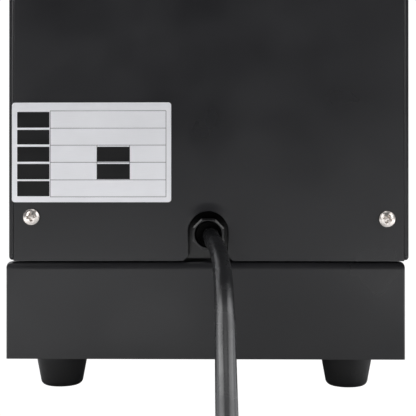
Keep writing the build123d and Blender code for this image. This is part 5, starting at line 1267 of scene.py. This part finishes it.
@dataclass
class SidePanels:
    """Both side sheets, with the rounded outer edge of a pressed sheet."""

    edge: float = 1.4 * MM
    segments: int = 4
    curl: float = 1.5 * MM
    drop: float = 0.5 * MM
    levels: tuple[float, ...] = (0.15, 0.4, 0.75, 1.2, 1.9, 2.6)
    names: tuple[str, str] = ("side_panel_left", "side_panel_right")

    def build(self, nodes: dict[str, bpy.types.Object]) -> None:
        """Round the outer edge of a copy of each sheet.

        Args:
            nodes: The frame's nodes.
        """
        for name in self.names:
            bm = merged(nodes[name])
            bmesh.ops.dissolve_limit(bm, angle_limit=NO_BEND, verts=bm.verts, edges=bm.edges)
            outer = max((v.co.x for v in bm.verts), key=abs)
            flat = max((f for f in bm.faces if all(abs(v.co.x - outer) < 1e-6 for v in f.verts)),
                       key=lambda f: f.calc_area())
            rim = max(self.loops(flat), key=len)
            bmesh.ops.bevel(bm, geom=rim, offset=self.edge, segments=self.segments, profile=0.5,
                            affect="EDGES", clamp_overlap=True)
            self.curl_in(bm, abs(outer))
            bmesh.ops.triangulate(bm, faces=bm.faces)
            piece = new_piece(f"{name}_sheet", bm, BLACK_COAT, 30.0, turn=False, weigh=True)
            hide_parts(name)

    def curl_in(self, bm: bmesh.types.BMesh, outer: float) -> None:
        """Round the lower edge of a sheet inwards, as far as its thickness lets it.

        Args:
            bm: The sheet's mesh.
            outer: Its outer face's distance from the middle.
        """
        bottom = min(v.co.z for v in bm.verts)
        for level in self.levels:
            bmesh.ops.bisect_plane(bm, geom=[*bm.verts, *bm.edges, *bm.faces],
                                   plane_co=(0.0, 0.0, bottom + level * MM), plane_no=(0.0, 0.0, 1.0))
        for vert in bm.verts:
            height = vert.co.z - bottom
            if height < self.curl:
                inset = self.curl - math.sqrt(self.curl ** 2 - (self.curl - height) ** 2)
                limit = outer - 0.85 * inset
                if abs(vert.co.x) > limit:
                    vert.co.x = math.copysign(limit, vert.co.x)
                vert.co.z -= self.drop * (1.0 - height / self.curl)

    @staticmethod
    def loops(face: bmesh.types.BMFace) -> list[list[bmesh.types.BMEdge]]:
        """Part a face's edges into its outer rim and its holes.

        Args:
            face: The face.

        Returns:
            The edges of each closed loop.
        """
        return connected(face.edges,
                         lambda edge: [other for vert in edge.verts for other in vert.link_edges])


@dataclass
class Housing:
    """The coated base and covers, and what holds them inside."""

    finishes: dict[str, Finish] = field(default_factory=lambda: {
        "bottom_plate": ZINC_SHEET,
        "foot_screws": BLACK_STEEL, "column_frame": BLACK_COAT, "cap_screws": BLACK_STEEL,
        # The back plate's finish carries painted shade towards the top of the cord notch.
        "chassis_back_plate": INNER_COAT_PAINTED_SHADE, "column_front_cover": BLACK_COAT,
        "head_cover": BLACK_COAT, "head_plate": GREY_STEEL,
    })

    def build(self, nodes: dict[str, bpy.types.Object]) -> None:
        """Dress the housing.

        Args:
            nodes: The frame's nodes.
        """
        dress_all(nodes, self.finishes)


@dataclass
class SeamingHead:
    """The chuck spindle, the yoke with its rollers and the geared drive."""

    turned: dict[str, Finish] = field(default_factory=lambda: {
        "spindle_bearings": TURNED_STEEL, "spindle": TURNED_STEEL, "seaming_chuck": TOOL_STEEL,
        "spindle_fasteners": BLACK_STEEL, "drive_gear": TURNED_STEEL, "motor_pinion": TURNED_STEEL,
        "pivot_screw": BLACK_STEEL, "first_roller": TOOL_STEEL, "second_roller": TOOL_STEEL,
    })
    plain: dict[str, Finish] = field(default_factory=lambda: {
        "spindle_housing": CAST_ALLOY, "seaming_yoke": CAST_ALLOY, "motor_bridge": ZINC_SHEET,
        "bridge_pillars": TURNED_STEEL, "motor_gearbox": CAST_ALLOY, "motor_body": MOTOR_PAINT,
        "roller_pins": TURNED_STEEL, "roller_retainers": BRIGHT_STEEL, "yoke_handle_rod": TURNED_STEEL,
        "yoke_handle_knob": SWITCH_PLASTIC,
    })

    def build(self, nodes: dict[str, bpy.types.Object]) -> None:
        """Dress the head.

        Args:
            nodes: The frame's nodes.
        """
        dress_all(nodes, self.turned, lathe=True)
        dress_all(nodes, self.plain)


@dataclass
class CanLift:
    """The barrel-cam lift with its table."""

    turned: dict[str, Finish] = field(default_factory=lambda: {
        "lift_guide": TURNED_STEEL, "sleeve_retaining_ring": TURNED_STEEL, "cam_sleeve": CAM_STEEL,
        "lift_stem": TURNED_STEEL, "thrust_bearing": TOOL_STEEL, "can_table": TOOL_STEEL,
    })
    plain: dict[str, Finish] = field(default_factory=lambda: {
        "cross_pin": TURNED_STEEL, "table_pad": RUBBER, "lift_lever_rod": TURNED_STEEL,
        "lift_lever_knob": SWITCH_PLASTIC,
    })

    def build(self, nodes: dict[str, bpy.types.Object]) -> None:
        """Dress the lift.

        Args:
            nodes: The frame's nodes.
        """
        dress_all(nodes, self.turned, lathe=True)
        dress_all(nodes, self.plain)


class Surface:
    """The outside of a CAD node, for putting marks on it from the front."""

    def __init__(self, node: bpy.types.Object) -> None:
        """Read the node's faces.

        Args:
            node: The node's object.
        """
        bm = bmesh.new()
        bm.from_mesh(node.data)
        self.tree = BVHTree.FromBMesh(bm)
        bm.free()

    def mark(self, bm: bmesh.types.BMesh, outline: list[tuple[float, float]], holes: int = 0,
             ink: float = 0.06 * MM) -> None:
        """Add one printed mark, laid on the surface from the front.

        Args:
            bm: The mesh that it joins.
            outline: Its outline in x and z, or the outer loop followed by an inner one.
            holes: How many of the last points are an inner loop.
            ink: The thickness of the ink.
        """
        tops = []
        feet = []
        for x, z in outline:
            hit = self.tree.ray_cast(Vector((x, -1.0, z)), Vector((0.0, 1.0, 0.0)))[0]
            tops.append(bm.verts.new((x, hit.y - ink, z)))
            feet.append(bm.verts.new((x, hit.y + ink, z)))
        outer = len(outline) - holes
        if holes:
            for row, near, far in ((tops, 0, outer), (feet, outer, 0)):
                for step in range(outer):
                    after = (step + 1) % outer
                    bm.faces.new((row[near + step], row[near + after], row[far + after], row[far + step]))
        else:
            bm.faces.new(tops)
            bm.faces.new(list(reversed(feet)))
        for start, count in ((0, outer), (outer, holes)):
            for step in range(count):
                here = start + step
                after = start + (step + 1) % count
                bm.faces.new((tops[here], tops[after], feet[after], feet[here]))


@dataclass
class FrontControls:
    """The panel on the head's front, with its switch, lamp, button and knob."""

    dial_steps: int = 11
    dial_start: float = 225.0
    dial_sweep: float = 270.0
    dial_gap: float = 2.2 * MM
    tick_length: float = 3.0 * MM
    tick_width: float = 0.7 * MM
    pointer_width: float = 1.1 * MM
    mark_height: float = 4.4 * MM
    mark_line: float = 0.8 * MM
    finishes: dict[str, Finish] = field(default_factory=lambda: {
        "control_panel": PANEL_PLASTIC, "control_bezels": SWITCH_PLASTIC,
        "start_button": GREEN_PLASTIC, "power_rocker": SWITCH_PLASTIC, "speed_knob": SWITCH_PLASTIC,
        "indicator_lamp": AMBER_LENS, "control_board": BOARD_GREEN,
    })

    def build(self, nodes: dict[str, bpy.types.Object]) -> None:
        """Dress the panel and print its marks.

        Args:
            nodes: The frame's nodes.
        """
        dress_all(nodes, self.finishes)
        self.dial()
        self.pointer(nodes)
        self.switch_marks(nodes)

    def dial(self) -> None:
        """Print the speed dial's ticks round the knob."""
        low, high = corners("speed_knob")
        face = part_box("control_panel")[0][1]
        reach = (high.x - low.x) / 2 + self.dial_gap + self.tick_length / 2
        points = []
        ways = []
        for step in range(self.dial_steps):
            angle = math.radians(self.dial_start - self.dial_sweep * step / (self.dial_steps - 1))
            way = Vector((math.cos(angle), 0.0, math.sin(angle)))
            points.append(Vector(((low.x + high.x) / 2, face, (low.z + high.z) / 2)) + way * reach)
            ways.append(way)
        tick = bmesh.new()
        half = self.tick_width / 2
        bmesh.ops.create_cube(tick, size=1.0, matrix=Matrix.Diagonal(
            (self.tick_width, self.tick_width / 4, self.tick_length, 1.0)))
        bmesh.ops.bevel(tick, geom=list(tick.edges), offset=half / 6, segments=2, affect="EDGES")
        ticks = GrowTree().grow("speed_dial_ticks", points, ways, tick, WHITE_MARK)

    def pointer(self, nodes: dict[str, bpy.types.Object]) -> None:
        """Print the pointer line on the speed knob's face.

        Args:
            nodes: The frame's nodes.
        """
        low, high = corners("speed_knob")
        x = (low.x + high.x) / 2
        z = (low.z + high.z) / 2
        radius = (high.x - low.x) / 2
        bm = bmesh.new()
        angle = math.radians(self.dial_start)
        along = Vector((math.cos(angle), math.sin(angle)))
        across = Vector((-along.y, along.x)) * self.pointer_width / 2
        near, far = along * radius * 0.25, along * radius * 0.72
        ends = [near - across, far - across, far + across, near + across]
        Surface(nodes["speed_knob"]).mark(bm, [(x + end.x, z + end.y) for end in ends])
        line = new_piece("speed_knob_pointer", bm, WHITE_MARK, 20.0, "speed_knob")

    def switch_marks(self, nodes: dict[str, bpy.types.Object]) -> None:
        """Print the I and the O on the rocker.

        Args:
            nodes: The frame's nodes.
        """
        low, high = corners("power_rocker")
        x = (low.x + high.x) / 2
        middle = (low.z + high.z) / 2
        quarter = (high.z - low.z) / 4
        surface = Surface(nodes["power_rocker"])
        bm = bmesh.new()
        half = self.mark_height / 2
        line = self.mark_line / 2
        surface.mark(bm, [(x - line, middle + quarter - half), (x + line, middle + quarter - half),
                          (x + line, middle + quarter + half), (x - line, middle + quarter + half)])
        steps = 24
        ring = []
        for reach in (half, half - self.mark_line):
            ring += [(x + reach * math.cos(2 * math.pi * step / steps),
                      middle - quarter + reach * math.sin(2 * math.pi * step / steps))
                     for step in range(steps)]
        surface.mark(bm, ring, steps)
        marks = new_piece("power_rocker_marks", bm, WHITE_MARK, 20.0, "power_rocker")


def main() -> None:
    """Build the machine's looks in order."""
    logging.basicConfig(level=logging.INFO, format="%(name)s: %(message)s")
    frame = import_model()
    nodes = frame["nodes"]
    Studio().build()
    MainsLead().build(nodes)
    StrainRelief().build()
    RatingPlate().build()
    CrossScrews().build(nodes)
    BaseBox().build(nodes)
    RearCover().build(nodes)
    SidePanels().build(nodes)
    Housing().build(nodes)
    SeamingHead().build(nodes)
    CanLift().build(nodes)
    FrontControls().build(nodes)


if __name__ == "__main__":
    main()
